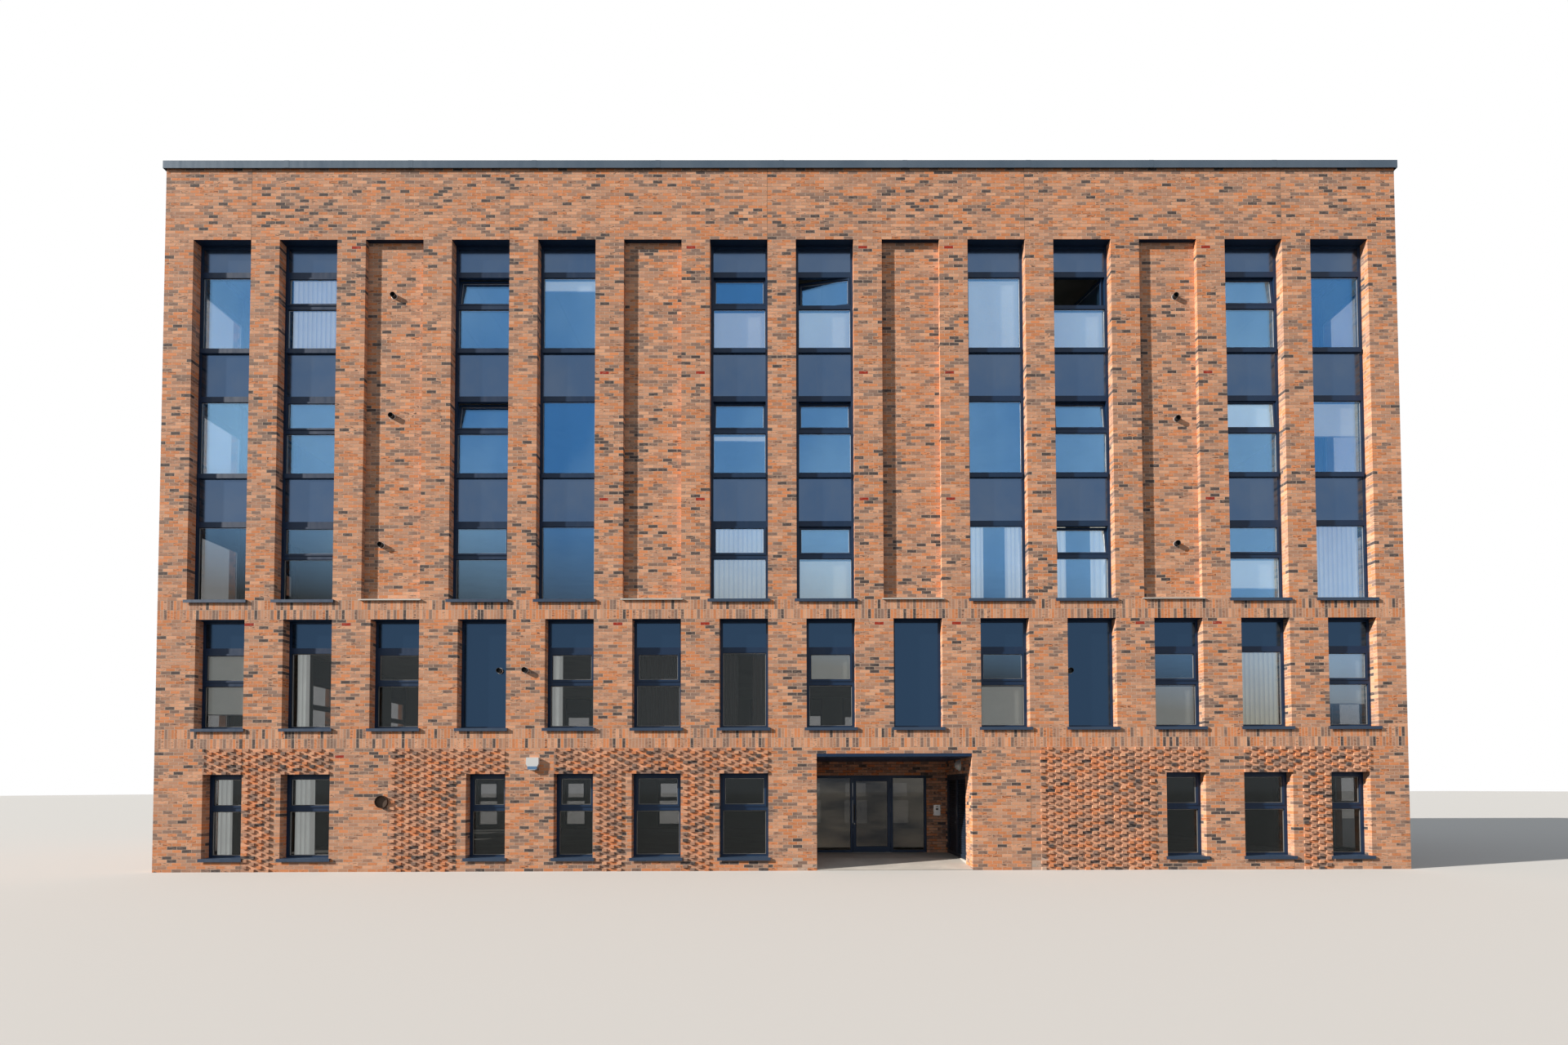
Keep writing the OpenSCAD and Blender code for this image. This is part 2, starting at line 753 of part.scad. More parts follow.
module louvre_frame_head() {
    color("dimgray") on_recess_right(0)
        block(0, frame_d, louvre_y + louvre_frame_w + seat, louvre_end - louvre_frame_w - seat,
            door_head - louvre_frame_w, door_head - seat);
}

// Round duct terminal, open at its outer end
module terminal(r, out, t) {
    rotate([90, 0, 0]) difference() {
        cylinder(h = out, r = r, $fn = 48);
        translate([0, 0, t]) cylinder(h = out, r = r - t, $fn = 48);
    }
}

module duct_terminals() {
    color("black") for (e = [front, back]) on(e) {
        for (d = blind_ducts) if (d[1] < upper_storeys && d[0] < bays(e))
            translate([d[0] * bay + pier_w + d[2] * strip_w, blind_d - seat, upper_z + (d[1] + d[3]) * storey_h])
                terminal(duct_r, duct_out, duct_t);
        for (d = blank_ducts) if (d[0] < bays(e))
            translate([d[0] * bay + first_pier_w + d[1] * first_w, reveal_d + panel_back - seat,
                first_z + d[2] * window_h]) terminal(duct_r, duct_out, duct_t);
        for (d = pier_ducts) if (d[0] < bays(e))
            translate([(d[0] + 1) * bay + d[1] * first_pier_w, -seat, first_z + d[2] * window_h])
                terminal(duct_r, duct_out, duct_t);
    }
}

big_vent_u = 5265;
big_vent_z = 1610;

module ground_vent() {
    color("saddlebrown") on(front) translate([big_vent_u, -seat, big_vent_z])
        terminal(big_vent_r, big_vent_out, duct_t);
}

alarm_u = 8746;
alarm_z = 2480;
alarm_corner = 22;

module alarm_box() {
    half = alarm_w / 2 - alarm_corner;
    color("white") on(front) translate([alarm_u, -seat, alarm_z]) rotate([90, 0, 0])
        linear_extrude(alarm_d) hull() {
            for (side = [-1, 1]) {
                translate([side * half, half]) circle(r = alarm_corner, $fn = 24);
                translate([side * half, 0]) circle(r = alarm_corner, $fn = 24);
                translate([side * half * 0.45, -half]) circle(r = alarm_corner, $fn = 24);
            }
        }
}

entry_u = 18556;
entry_z = 1150;

module entry_panel() {
    color("silver") on(front)
        block(entry_u, entry_u + entry_w, entrance_d - entry_t - seat, entrance_d - seat,
            entry_z, entry_z + entry_h);
}

light_y = 1200;
light_z = 2460;
light_base_t = 30;
dome_r = 120;

module bulkhead_light() {
    color("white") on(front) translate([entrance_x1 - seat, light_y, light_z]) rotate([0, -90, 0]) {
        cylinder(h = light_base_t, r = light_r, $fn = 64);
        translate([0, 0, light_base_t - seat]) rotate_extrude($fn = 64) intersection() {
            scale([1, (light_t - light_base_t) / dome_r]) circle(r = dome_r, $fn = 64);
            square([dome_r, light_t]);
        }
    }
}

front_ground_wall_left();
front_ground_wall_right();
entrance_lintel();
front_first_floor_wall();
front_upper_wall();
whole_wall(back);  // back_wall
whole_wall(left);  // left_wall
whole_wall(right);  // right_wall
ground_slab();
ground_slab_wings();
slab(first_floor_z, slab_t);  // first_floor_slab
slab(first_floor_z + storey_h, slab_t);  // second_floor_slab
slab(first_floor_z + 2 * storey_h, slab_t);  // third_floor_slab
slab(first_floor_z + 3 * storey_h, slab_t);  // fourth_floor_slab
slab(roof_z, slab_t);  // roof_slab
coping();
recess_left_wall();
recess_right_jambs();
recess_right_head();
recess_back_head();
recess_back_pier();
recess_soffit();
recess_floor();
entrance_screen();
entrance_screen_head();
entrance_screen_glass();
entrance_door();
entrance_door_glass();
entrance_door_handle();
louvre_frame_jambs();
louvre_frame_head();
louvre_door_front();
louvre_door_rear();
color("darkslategray") windows(front, "frames");  // front_window_frames
color("darkslategray") windows(back, "frames");  // back_window_frames
color("darkslategray") {  // end_window_frames
    windows(left, "frames");
    windows(right, "frames");
}
color("lightblue", 0.5) windows(front, "glass");  // front_glass
color("lightblue", 0.5) windows(back, "glass");  // back_glass
color("lightblue", 0.5) {  // end_glass
    windows(left, "glass");
    windows(right, "glass");
}
color("steelblue") windows(front, "panels");  // front_panels
color("steelblue") windows(back, "panels");  // back_panels
color("steelblue") {  // end_panels
    windows(left, "panels");
    windows(right, "panels");
}
window_sills();
recess_flashings();
duct_terminals();
ground_vent();
alarm_box();
entry_panel();
bulkhead_light();
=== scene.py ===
# Dresses the apartment block: bricks, window finishes, cloth, fittings, light and camera
import math
import random

import bmesh
import bpy
import numpy as np
from mathutils import Matrix, Vector


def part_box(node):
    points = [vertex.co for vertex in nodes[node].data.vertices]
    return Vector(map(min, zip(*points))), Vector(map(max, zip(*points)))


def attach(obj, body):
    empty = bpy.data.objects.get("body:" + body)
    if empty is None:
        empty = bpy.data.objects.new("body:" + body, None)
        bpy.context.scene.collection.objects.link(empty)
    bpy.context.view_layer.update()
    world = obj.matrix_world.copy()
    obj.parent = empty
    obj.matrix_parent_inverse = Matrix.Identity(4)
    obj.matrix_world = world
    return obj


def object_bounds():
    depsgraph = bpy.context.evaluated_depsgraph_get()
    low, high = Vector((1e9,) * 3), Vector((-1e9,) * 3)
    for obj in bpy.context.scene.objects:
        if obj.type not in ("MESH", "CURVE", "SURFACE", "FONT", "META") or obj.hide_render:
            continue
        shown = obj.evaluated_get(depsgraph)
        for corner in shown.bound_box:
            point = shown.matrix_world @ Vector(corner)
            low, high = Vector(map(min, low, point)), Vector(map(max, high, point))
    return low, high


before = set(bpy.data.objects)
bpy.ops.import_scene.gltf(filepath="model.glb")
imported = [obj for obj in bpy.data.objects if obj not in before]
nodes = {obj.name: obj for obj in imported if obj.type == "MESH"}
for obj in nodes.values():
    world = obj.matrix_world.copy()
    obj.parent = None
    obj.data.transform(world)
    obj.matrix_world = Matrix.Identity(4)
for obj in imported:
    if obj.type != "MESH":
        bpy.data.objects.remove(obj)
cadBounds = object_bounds()
dice = random.Random(29)


def say(text):
    print("apartment block:", text, flush=True)


# Driving sizes of the block in metres, the same as the construction's
block = {
    "bay": 2.025,  # nine bricks
    "pier": 0.665,  # between two tall strips
    "firstPier": 0.890,  # between two first floor windows
    "bandLow": 2.850,  # underside of the lower soldier band
    "band": 0.450,
    "storey": 3.000,
    "windowHigh": 2.550,
    "tallStoreys": 3,
    "reveal": 0.215,  # wall face to window frames
    "blind": 0.112,  # depth of the blind recesses
    "wall": 0.400,
    "groundFoot": 0.300,  # ground storey windows
    "groundHead": 2.250,
    "narrow": 0.910,
    "wide": 1.135,
    "frameWide": 0.060,  # sight width of the window frames
}
firstFoot = block["bandLow"] + block["band"]
upperFoot = firstFoot + block["storey"]
upperHead = upperFoot + (block["tallStoreys"] - 1) * block["storey"] + block["windowHigh"]
stripWide = block["bay"] - block["pier"]

wallLow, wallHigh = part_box("front_upper_wall")
wide = wallHigh.x - wallLow.x
endLow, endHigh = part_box("right_wall")
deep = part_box("back_wall")[1].y - wallLow.y
wallTop = wallHigh.z
soffitLow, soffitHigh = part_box("recess_soffit")
louvreLow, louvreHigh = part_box("louvre_frame_jambs")
doorwayLeft = soffitLow.x + wide / 2  # entrance recess, along the front from its left corner
doorwayRight = soffitHigh.x + wide / 2
doorwayHead = soffitHigh.z
recessDeep = soffitHigh.y + deep / 2

# Bays of an elevation, seen from outside and counted from its left corner. Windows of the ground
# storey stand at the right of their bay, leftNarrow at its left. Textured panels are counted in bricks
longBays = {
    "run": wide, "bays": 14, "blind": [2, 5, 8, 11], "leftNarrow": [13], "movement": [1, 4, 7, 10, 13],
    "texturedAbove": [(5, 18), (24, 36), (41, 63), (91, 108), (112, 125)],
    "texturedBeside": [(9, 12), (24, 31), (45, 48), (54, 57), (91, 103), (118, 121)],
}
endBays = {
    "run": deep, "bays": 7, "blind": [2, 4], "leftNarrow": [6], "movement": [1, 4],
    "wide": [1, 5], "narrow": [0, 3],
    "texturedAbove": [(5, 18), (24, 36), (49, 62)],
    "texturedBeside": [(9, 12), (24, 31), (55, 58)],
}
elevations = {
    "front": {**longBays, "wide": [1, 5, 6, 12], "narrow": [0, 3, 4, 11]},
    "back": {**longBays, "wide": [1, 5, 6, 9, 12], "narrow": [0, 3, 4, 8, 11]},
    "left": endBays,
    "right": endBays,
}

# Cosine and sine of each wall's turn, and the place of its left corner
wallPlaces = {
    "front": (1, 0, -wide / 2, -deep / 2),
    "back": (-1, 0, wide / 2, deep / 2),
    "left": (0, -1, -wide / 2, deep / 2),
    "right": (0, 1, wide / 2, -deep / 2),
    "recessLeft": (0, 1, doorwayLeft - wide / 2, -deep / 2),
    "recessRight": (0, -1, doorwayRight - wide / 2, recessDeep - deep / 2),
    "recessBack": (1, 0, doorwayLeft - wide / 2, recessDeep - deep / 2),
}


# Local axes of a wall: u to the right seen from outside, d into the wall, z up
def wallMatrix(side):
    cos, sin, x, y = wallPlaces[side]
    return Matrix(((cos, -sin, 0, x), (sin, cos, 0, y), (0, 0, 1, 0), (0, 0, 0, 1)))


# Materials
def startFinish(name, colour, roughness, metallic=0.0, **sockets):
    finish = bpy.data.materials.new(name)
    finish.use_nodes = True
    shader = finish.node_tree.nodes["Principled BSDF"]
    values = {"Base Color": (*colour, 1), "Roughness": roughness, "Metallic": metallic, **sockets}
    for socket, value in values.items():
        shader.inputs[socket.replace("_", " ")].default_value = value
    return finish


# What one node of a material or of the world gives, ready for the next node
class Signal:
    def __init__(self, owner, kind, inputs=None, output=0, **settings):
        node = owner.node_tree.nodes.new("ShaderNode" + kind)
        for key, value in settings.items():
            setattr(node, key, value)
        for key, value in (inputs or {}).items():
            if isinstance(value, Signal):
                owner.node_tree.links.new(value.socket, node.inputs[key])
            else:
                node.inputs[key].default_value = value
        self.owner, self.socket = owner, node.outputs[output]

    def calculate(self, way, other=0.0):
        return Signal(self.owner, "Math", {0: self, 1: other}, operation=way)

    def __mul__(self, other):
        return self.calculate("MULTIPLY", other)

    def __add__(self, other):
        return self.calculate("ADD", other)

    def axis(self, name):
        return Signal(self.owner, "SeparateXYZ", {"Vector": self}, name)

    def noise(self, scale, detail, rough=0.55):
        inputs = {"Vector": self, "Scale": scale, "Detail": detail, "Roughness": rough}
        return Signal(self.owner, "TexNoise", inputs, "Fac")

    def spread(self, low, high, first=0.0, last=1.0):
        inputs = {"Value": self, "From Min": low, "From Max": high, "To Min": first, "To Max": last}
        return Signal(self.owner, "MapRange", inputs, "Result")

    # The first tone where this is 0, the second where it is 1
    def blend(self, first, second):
        tones = [tone if isinstance(tone, Signal) else (*tone, 1) for tone in (first, second)]
        return Signal(self.owner, "Mix", {0: self, 6: tones[0], 7: tones[1]}, 2, data_type="RGBA")

    def bump(self, strength, distance):
        inputs = {"Height": self, "Strength": strength, "Distance": distance}
        Signal(self.owner, "Bump", inputs, "Normal").into("Normal")

    def into(self, socket):
        shader = self.owner.node_tree.nodes["Principled BSDF"]
        self.owner.node_tree.links.new(self.socket, shader.inputs[socket])


def objectPlace(finish, stretch=None):
    place = Signal(finish, "TexCoord", output="Object")
    return Signal(finish, "Mapping", {"Vector": place, "Scale": stretch}) if stretch else place


brickTones = {
    "fineGrain": 150.0,  # per metre
    "grainRange": (0.3, 0.7),
    "speck": (0.78, 1.16),  # how far the grain darkens and lightens
    "dull": (0.80, 0.97),  # roughness along the grain
    "drag": (7.0, 7.0, 30.0),  # drag marks lie along the brick
    "char": (0.060, 0.050, 0.052),
    "charRange": (0.50, 0.66),
    "dust": (0.66, 0.47, 0.36),
    "dustRange": (0.46, 0.32),
    "dustShare": 0.35,
    "mortar": (0.68, 0.515, 0.395),
    "joint": 0.0099,  # width of the upright joint that goes with each brick
}


def brickFinish():
    tones = brickTones
    finish = startFinish("firedBrick", (0.46, 0.22, 0.12), 0.9, Specular_IOR_Level=0.25)
    clay = Signal(finish, "Attribute", output="Color", attribute_name="clay")
    burn, seed, toEnd = [Signal(finish, "Attribute", output="Fac", attribute_name=key)
                         for key in ("burn", "seed", "toEnd")]
    shift = Signal(finish, "CombineXYZ", {"X": seed, "Y": seed, "Z": seed})
    moved = Signal(finish, "VectorMath", {0: objectPlace(finish), 1: shift}, operation="ADD")
    streak = Signal(finish, "Mapping", {"Vector": moved, "Scale": tones["drag"]}).noise(1.6, 3.0, 0.6)
    grain = moved.noise(tones["fineGrain"], 2.0)
    tone = (streak.spread(*tones["charRange"]) * burn).blend(clay, tones["char"])
    tone = (streak.spread(*tones["dustRange"]) * tones["dustShare"]).blend(tone, tones["dust"])
    speck = grain.spread(*tones["grainRange"], *tones["speck"])
    grey = Signal(finish, "CombineColor", {"Red": speck, "Green": speck, "Blue": speck})
    tone = Signal(finish, "Mix", {0: 1.0, 6: tone, 7: grey}, 2, data_type="RGBA", blend_type="MULTIPLY")
    toEnd.calculate("LESS_THAN", tones["joint"]).blend(tone, tones["mortar"]).into("Base Color")
    grain.spread(*tones["grainRange"], *tones["dull"]).into("Roughness")
    grain.bump(0.5, 0.003)
    return finish


wallTones = {
    "mortar": (0.66, 0.505, 0.385),
    "mortarDark": (0.58, 0.45, 0.35),
    "sand": 260.0,  # per metre
    # plaster inside is darkened to stand for the dim rooms: painted shade
    "plasterInShade": (0.17, 0.165, 0.155),
    "plasterFrom": (0.292, 0.297),  # depth in the wall where the plaster takes over
    "upstand": (0.16, 0.17, 0.18),
}


# Mortar on the outer leaf, plaster inside darkened as painted shade of the dim rooms, and roofing on the
# inner side of the parapet
def wallFinish():
    tones = wallTones
    finish = startFinish("mortarAndPlaster", tones["mortar"], 0.95, Specular_IOR_Level=0.2)
    place = objectPlace(finish)
    tone = place.noise(0.8, 4.0).spread(0.35, 0.65).blend(tones["mortarDark"], tones["mortar"])
    fromEnd, fromFace = [
        Signal(finish, "Math", {0: size / 2, 1: place.axis(name).calculate("ABSOLUTE")}, operation="SUBTRACT")
        for name, size in (("X", wide), ("Y", deep))]
    inside = fromEnd.calculate("MINIMUM", fromFace)
    tone = inside.spread(*tones["plasterFrom"]).blend(tone, tones["plasterInShade"])
    above = place.axis("Z").calculate("GREATER_THAN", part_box("roof_slab")[1].z + 0.002)
    within = inside.calculate("GREATER_THAN", block["wall"] - 0.005)
    (above * within).blend(tone, tones["upstand"]).into("Base Color")
    place.noise(tones["sand"], 2.0).bump(0.35, 0.002)
    return finish


paint = {
    "clouds": 0.9,  # per metre
    "cloudRange": (0.35, 0.68),
    "dust": 9.0,
    "dustRange": (0.55, 0.75),
    "fall": (1, 1, 0.18),  # dust runs down
    "dustShare": 0.25,
    "wear": (-0.07, 0.12),  # change of roughness
    "grain": 900.0,
    "bump": (0.04, 0.0006),
}


# Paint or metal in clouds of two tones, with dust that has run down and another tone below a level
def paintedFinish(name, colour, edge, roughness, metallic, shine=0.35, worn=True, low=None):
    finish = startFinish(name, colour, roughness, metallic, Specular_IOR_Level=shine)
    place = objectPlace(finish)
    tone = place.noise(paint["clouds"], 4.0).spread(*paint["cloudRange"]).blend(colour, edge)
    dust = objectPlace(finish, paint["fall"]).noise(paint["dust"], 4.0)
    streak = dust.spread(*paint["dustRange"]) * paint["dustShare"]
    tone = streak.blend(tone, tuple(0.8 * c + 0.03 for c in edge))
    if low:
        tone = place.axis("Z").calculate("LESS_THAN", low[0]).blend(tone, low[1])
    tone.into("Base Color")
    if worn:
        dust.spread(0.3, 0.7, *[roughness + wear for wear in paint["wear"]]).into("Roughness")
    place.noise(paint["grain"], 2.0).bump(*paint["bump"])
    return finish


# Glass tones: deep, pale, sky, clouds and own paint a reflection of the sky into the base colour, and low is
# a painted reflection of dark trees in the lowest windows
glassAndPaintedReflections = {
    "deep": (0.07, 0.27, 0.64),
    "pale": (0.34, 0.66, 1.0),
    "low": (0.050, 0.056, 0.058),
    "solidLow": 0.40,
    "solid": 0.38,  # share that each of the two faces reflects
    # painted shade and painted reflection of the glass in the recess
    "shaded": (0.030, 0.033, 0.038),
    "shadedPale": (0.105, 0.098, 0.085),
    "slope": 0.13,  # how much lower the painted dark reflection ends towards the right, per metre
    "darkReflectionAbove": (1.6, -1.4),  # where it ends, from the foot of the tall strips
    "sky": (0.50, 0.16),  # how pale the painted sky reflection is at the foot and at the head
    "clouds": (-0.25, 0.3),
    "own": (-0.30, 0.36),  # tone of the painted reflection from window to window
}


# Glass in the shade of the recess: its dark base tone is painted shade and a painted reflection of the dull
# ground outside
def shadedGlassFinish():
    finish = startFinish("shadedGlass", (0.05, 0.053, 0.055), 0.03, 0.9, Alpha=0.75)
    reflectionCloud = objectPlace(finish, (0.6, 0.6, 2.2)).noise(1.0, 4.0).spread(0.35, 0.7)
    reflectionCloud.blend(glassAndPaintedReflections["shaded"], glassAndPaintedReflections["shadedPale"]).into("Base Color")
    return finish


# Painted reflection in the base colour: sky in clouds, paler towards the foot, each window with its own tone,
# and a painted dark reflection of trees in the lowest ones
def glassFinish():
    tones = glassAndPaintedReflections
    finish = startFinish("paintedReflectionGlass", tones["deep"], 0.04, 0.92, Alpha=tones["solid"])
    place = objectPlace(finish)
    reflectionCloud = objectPlace(finish, (0.32, 0.32, 0.22)).noise(1.0, 3.0, 0.5)
    sky = place.axis("Z").spread(upperFoot - 0.5, upperHead, *tones["sky"])
    bays = Signal(finish, "VectorMath", {
        0: place, 1: (1 / block["bay"], 1 / block["bay"], 1 / block["storey"]),
        2: (wide / 2 / block["bay"], deep / 2 / block["bay"], -firstFoot / block["storey"])},
        operation="MULTIPLY_ADD")
    cell = Signal(finish, "VectorMath", {0: bays}, operation="FLOOR")
    own = Signal(finish, "TexWhiteNoise", {"Vector": cell}, "Value")
    mix = sky + reflectionCloud.spread(0.3, 0.7, *tones["clouds"]) + own.spread(0.0, 1.0, *tones["own"])
    level = place.axis("Z") + place.axis("X") * tones["slope"]
    near = level.spread(*[upperFoot + above for above in tones["darkReflectionAbove"]])
    near.spread(0.0, 1.0, tones["solid"], tones["solidLow"]).into("Alpha")
    near.blend(mix.blend(tones["deep"], tones["pale"]), tones["low"]).into("Base Color")
    return finish


# Slabs, roof and paving: clouds as scale, detail and range, grain as scale and detail
surfaces = {
    "castConcrete": {"plain": (0.42, 0.41, 0.39), "dark": (0.36, 0.35, 0.33), "pale": (0.50, 0.49, 0.46),
                     "roughness": 0.9, "clouds": (1.3, 5.0, 0.3, 0.7), "grain": (120.0, 3.0),
                     "bump": (0.3, 0.002)},
    "roofSheet": {"plain": (0.15, 0.16, 0.17), "dark": (0.11, 0.12, 0.13), "pale": (0.22, 0.23, 0.24),
                  "roughness": 0.8, "clouds": (0.7, 5.0, 0.3, 0.7), "grain": (400.0, 2.0),
                  "bump": (0.3, 0.001), "seam": (0.06, 0.065, 0.07), "seamShare": 0.6,
                  "sheets": 1.0, "lap": 0.035},
    "recessPaving": {"plain": (0.52, 0.49, 0.45), "dark": (0.47, 0.44, 0.40), "pale": (0.60, 0.56, 0.51),
                     "roughness": 0.9, "clouds": (1.6, 5.0, 0.35, 0.7), "grain": (160.0, 3.0),
                     "bump": (0.4, 0.002), "grit": (0.28, 0.26, 0.24), "gritRange": (0.52, 0.62),
                     "gritShare": 0.35},
}


def surfaceFinish(name):
    look = surfaces[name]
    finish = startFinish(name, look["plain"], look["roughness"])
    place = objectPlace(finish)
    grain = place.noise(*look["grain"])
    scale, detail, low, high = look["clouds"]
    tone = place.noise(scale, detail).spread(low, high).blend(look["dark"], look["pale"])
    if "seam" in look:
        seam = (place.axis("X") * look["sheets"]).calculate("FRACT").calculate("LESS_THAN", look["lap"])
        tone = (seam * look["seamShare"]).blend(tone, look["seam"])
    if "grit" in look:
        tone = (grain.spread(*look["gritRange"]) * look["gritShare"]).blend(tone, look["grit"])
    tone.into("Base Color")
    grain.bump(*look["bump"])
    return finish


# The cloth glows faintly though it is no lamp: a painted glow that stands for daylight from the room behind
def clothFinish(name, colour, paintedGlow):
    finish = startFinish(name, colour, 0.9, Sheen_Weight=0.3, Emission_Color=(*colour, 1),
                         Emission_Strength=paintedGlow)
    fade = objectPlace(finish).noise(2.2, 3.0).spread(0.35, 0.65)
    fade.blend(tuple(0.82 * c for c in colour), colour).into("Base Color")
    objectPlace(finish, (1, 1, 0.2)).noise(900.0, 2.0).bump(0.2, 0.0006)
    return finish


panelTones = {
    "slate": (0.062, 0.112, 0.205),
    "slateEdge": (0.085, 0.130, 0.210),
    "navy": (0.026, 0.056, 0.105),  # first floor
}


def panelFinish():
    low = (upperFoot - block["band"] / 2, panelTones["navy"])
    slate, edge = panelTones["slate"], panelTones["slateEdge"]
    return paintedFinish("slatePanels", slate, edge, 0.17, 0.90, worn=False, low=low)


# Name, colour, worn tone, roughness, how metallic and how shiny
paints = {
    "coping": ("copingMetal", (0.075, 0.115, 0.165), (0.11, 0.15, 0.20), 0.42, 0.25),
    "frames": ("navyFrames", (0.007, 0.026, 0.070), (0.011, 0.034, 0.082), 0.40, 0.0, 0.25),
    "sills": ("sillMetal", (0.030, 0.056, 0.105), (0.042, 0.070, 0.120), 0.42, 0.1),
    "louvre": ("louvreMetal", (0.014, 0.024, 0.042), (0.022, 0.034, 0.056), 0.45, 0.1),
    "flashing": ("paleFlashing", (0.50, 0.47, 0.43), (0.62, 0.59, 0.54), 0.5, 0.2),
    "steel": ("brushedSteel", (0.52, 0.53, 0.54), (0.60, 0.60, 0.60), 0.32, 0.9),
    "handle": ("blackHandle", (0.012, 0.012, 0.014), (0.02, 0.02, 0.022), 0.35, 0.3),
    "duct": ("blackDuct", (0.015, 0.016, 0.018), (0.03, 0.032, 0.035), 0.5, 0.0),
    "vent": ("brownVent", (0.070, 0.040, 0.028), (0.10, 0.06, 0.04), 0.6, 0.0),
    "plastic": ("whitePlastic", (0.72, 0.73, 0.74), (0.80, 0.80, 0.79), 0.4, 0.0),
    "seal": ("jointSeal", (0.24, 0.155, 0.105), (0.30, 0.20, 0.14), 0.8, 0.0),
    "rubber": ("blackRubber", (0.010, 0.011, 0.013), (0.018, 0.019, 0.022), 0.6, 0.0),
    "spacer": ("paleSpacer", (0.62, 0.63, 0.64), (0.72, 0.72, 0.72), 0.4, 0.3),
    "blueLens": ("blueLens", (0.10, 0.22, 0.40), (0.14, 0.27, 0.45), 0.25, 0.0, 0.5),
}

# Name, colour and the strength of its painted glow, which stands for daylight through the cloth
cloths = {
    "blind": ("blindCloth", (0.68, 0.66, 0.54), 0.62),
    "sheer": ("sheerCurtain", (0.74, 0.73, 0.64), 0.60),
    "shadedBlind": ("shadedBlind", (0.62, 0.64, 0.60), 0.50),
    "shadedSheer": ("shadedSheer", (0.70, 0.72, 0.70), 0.70),
    "grey": ("greyCurtain", (0.12, 0.115, 0.11), 0.08),
}
finishes = {
    "brick": brickFinish(),
    "wall": wallFinish(),
    "concrete": surfaceFinish("castConcrete"),
    "roof": surfaceFinish("roofSheet"),
    "paving": surfaceFinish("recessPaving"),
    "panels": panelFinish(),
    "glass": glassFinish(),
    "shadedGlass": shadedGlassFinish(),
    "opal": startFinish("opalLens", (0.78, 0.78, 0.75), 0.35, Subsurface_Weight=0.2),
    **{key: paintedFinish(*values) for key, values in paints.items()},
    **{key: clothFinish(*values) for key, values in cloths.items()},
}
say("finishes are made")

nodeFinish = {
    "wall": ["front_ground_wall_left", "front_ground_wall_right", "entrance_lintel", "front_first_floor_wall",
             "front_upper_wall", "back_wall", "left_wall", "right_wall", "recess_left_wall",
             "recess_right_jambs", "recess_right_head", "recess_back_head", "recess_back_pier"],
    "concrete": ["ground_slab", "ground_slab_wings", "first_floor_slab", "second_floor_slab",
                 "third_floor_slab", "fourth_floor_slab"],
    "roof": ["roof_slab"],
    "paving": ["recess_floor"],
    "coping": ["coping"],
    "frames": ["front_window_frames", "back_window_frames", "end_window_frames", "entrance_screen",
               "entrance_screen_head", "entrance_door", "recess_soffit"],
    "panels": ["front_panels", "back_panels", "end_panels"],
    "sills": ["window_sills"],
    "louvre": ["louvre_frame_jambs", "louvre_frame_head", "louvre_door_front", "louvre_door_rear"],
    "flashing": ["recess_flashings"],
    "glass": ["front_glass", "back_glass", "end_glass"],
    "shadedGlass": ["entrance_screen_glass", "entrance_door_glass"],
    "handle": ["entrance_door_handle"],
    "duct": ["duct_terminals"],
    "vent": ["ground_vent"],
    "plastic": ["alarm_box"],
    "steel": ["entry_panel"],
    "opal": ["bulkhead_light"],
}


def dress(piece, key):
    piece.data.materials.clear()
    piece.data.materials.append(finishes[key])


for key, names in nodeFinish.items():
    for name in names:
        dress(nodes[name], key)


# Modelling helpers
def clearSelection():
    if bpy.context.object and bpy.context.object.mode != "OBJECT":
        bpy.ops.object.mode_set(mode="OBJECT")
    bpy.ops.object.select_all(action="DESELECT")


def pickOnly(piece):
    clearSelection()
    piece.select_set(True)
    bpy.context.view_layer.objects.active = piece


# Adds one of Blender's primitives with nothing else selected
def addPrimitive(addShape, name, **settings):
    clearSelection()
    addShape(**settings)
    bpy.context.object.name = name
    return bpy.context.object


def settle(piece):
    pickOnly(piece)
    bpy.ops.object.transform_apply(location=True, rotation=True, scale=True)
    return piece


def addBox(name, low, high):
    middle = [(a + b) / 2 for a, b in zip(low, high)]
    size = [b - a for a, b in zip(low, high)]
    add = bpy.ops.mesh.primitive_cube_add
    return settle(addPrimitive(add, name, size=1, location=middle, scale=size))


def roundEdges(piece, width):
    pickOnly(piece)
    bevel = piece.modifiers.new("rounding", "BEVEL")
    bevel.width = width
    bevel.segments = 2
    bevel.limit_method = "ANGLE"
    bpy.ops.object.modifier_apply(modifier=bevel.name)
    return piece


# Copies of one modelled shape, joined in one mesh: each copy has a matrix
def joinCopies(name, shape, matrices):
    count = len(shape.vertices)
    points = np.zeros(count * 3)
    shape.vertices.foreach_get("co", points)
    points = np.c_[points.reshape(-1, 3), np.ones(count)]
    faces = [list(p.vertices) for p in shape.polygons]
    allPoints = np.concatenate([points @ np.array(m).T[:, :3] for m in matrices])
    allFaces = [[v + n * count for v in f] for n in range(len(matrices)) for f in faces]
    mesh = bpy.data.meshes.new(name)
    mesh.from_pydata(allPoints.tolist(), [], allFaces)
    mesh.update()
    piece = bpy.data.objects.new(name, mesh)
    bpy.context.scene.collection.objects.link(piece)
    return piece


def finishPiece(piece, key, body="root"):
    dress(piece, key)
    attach(piece, body)
    return piece


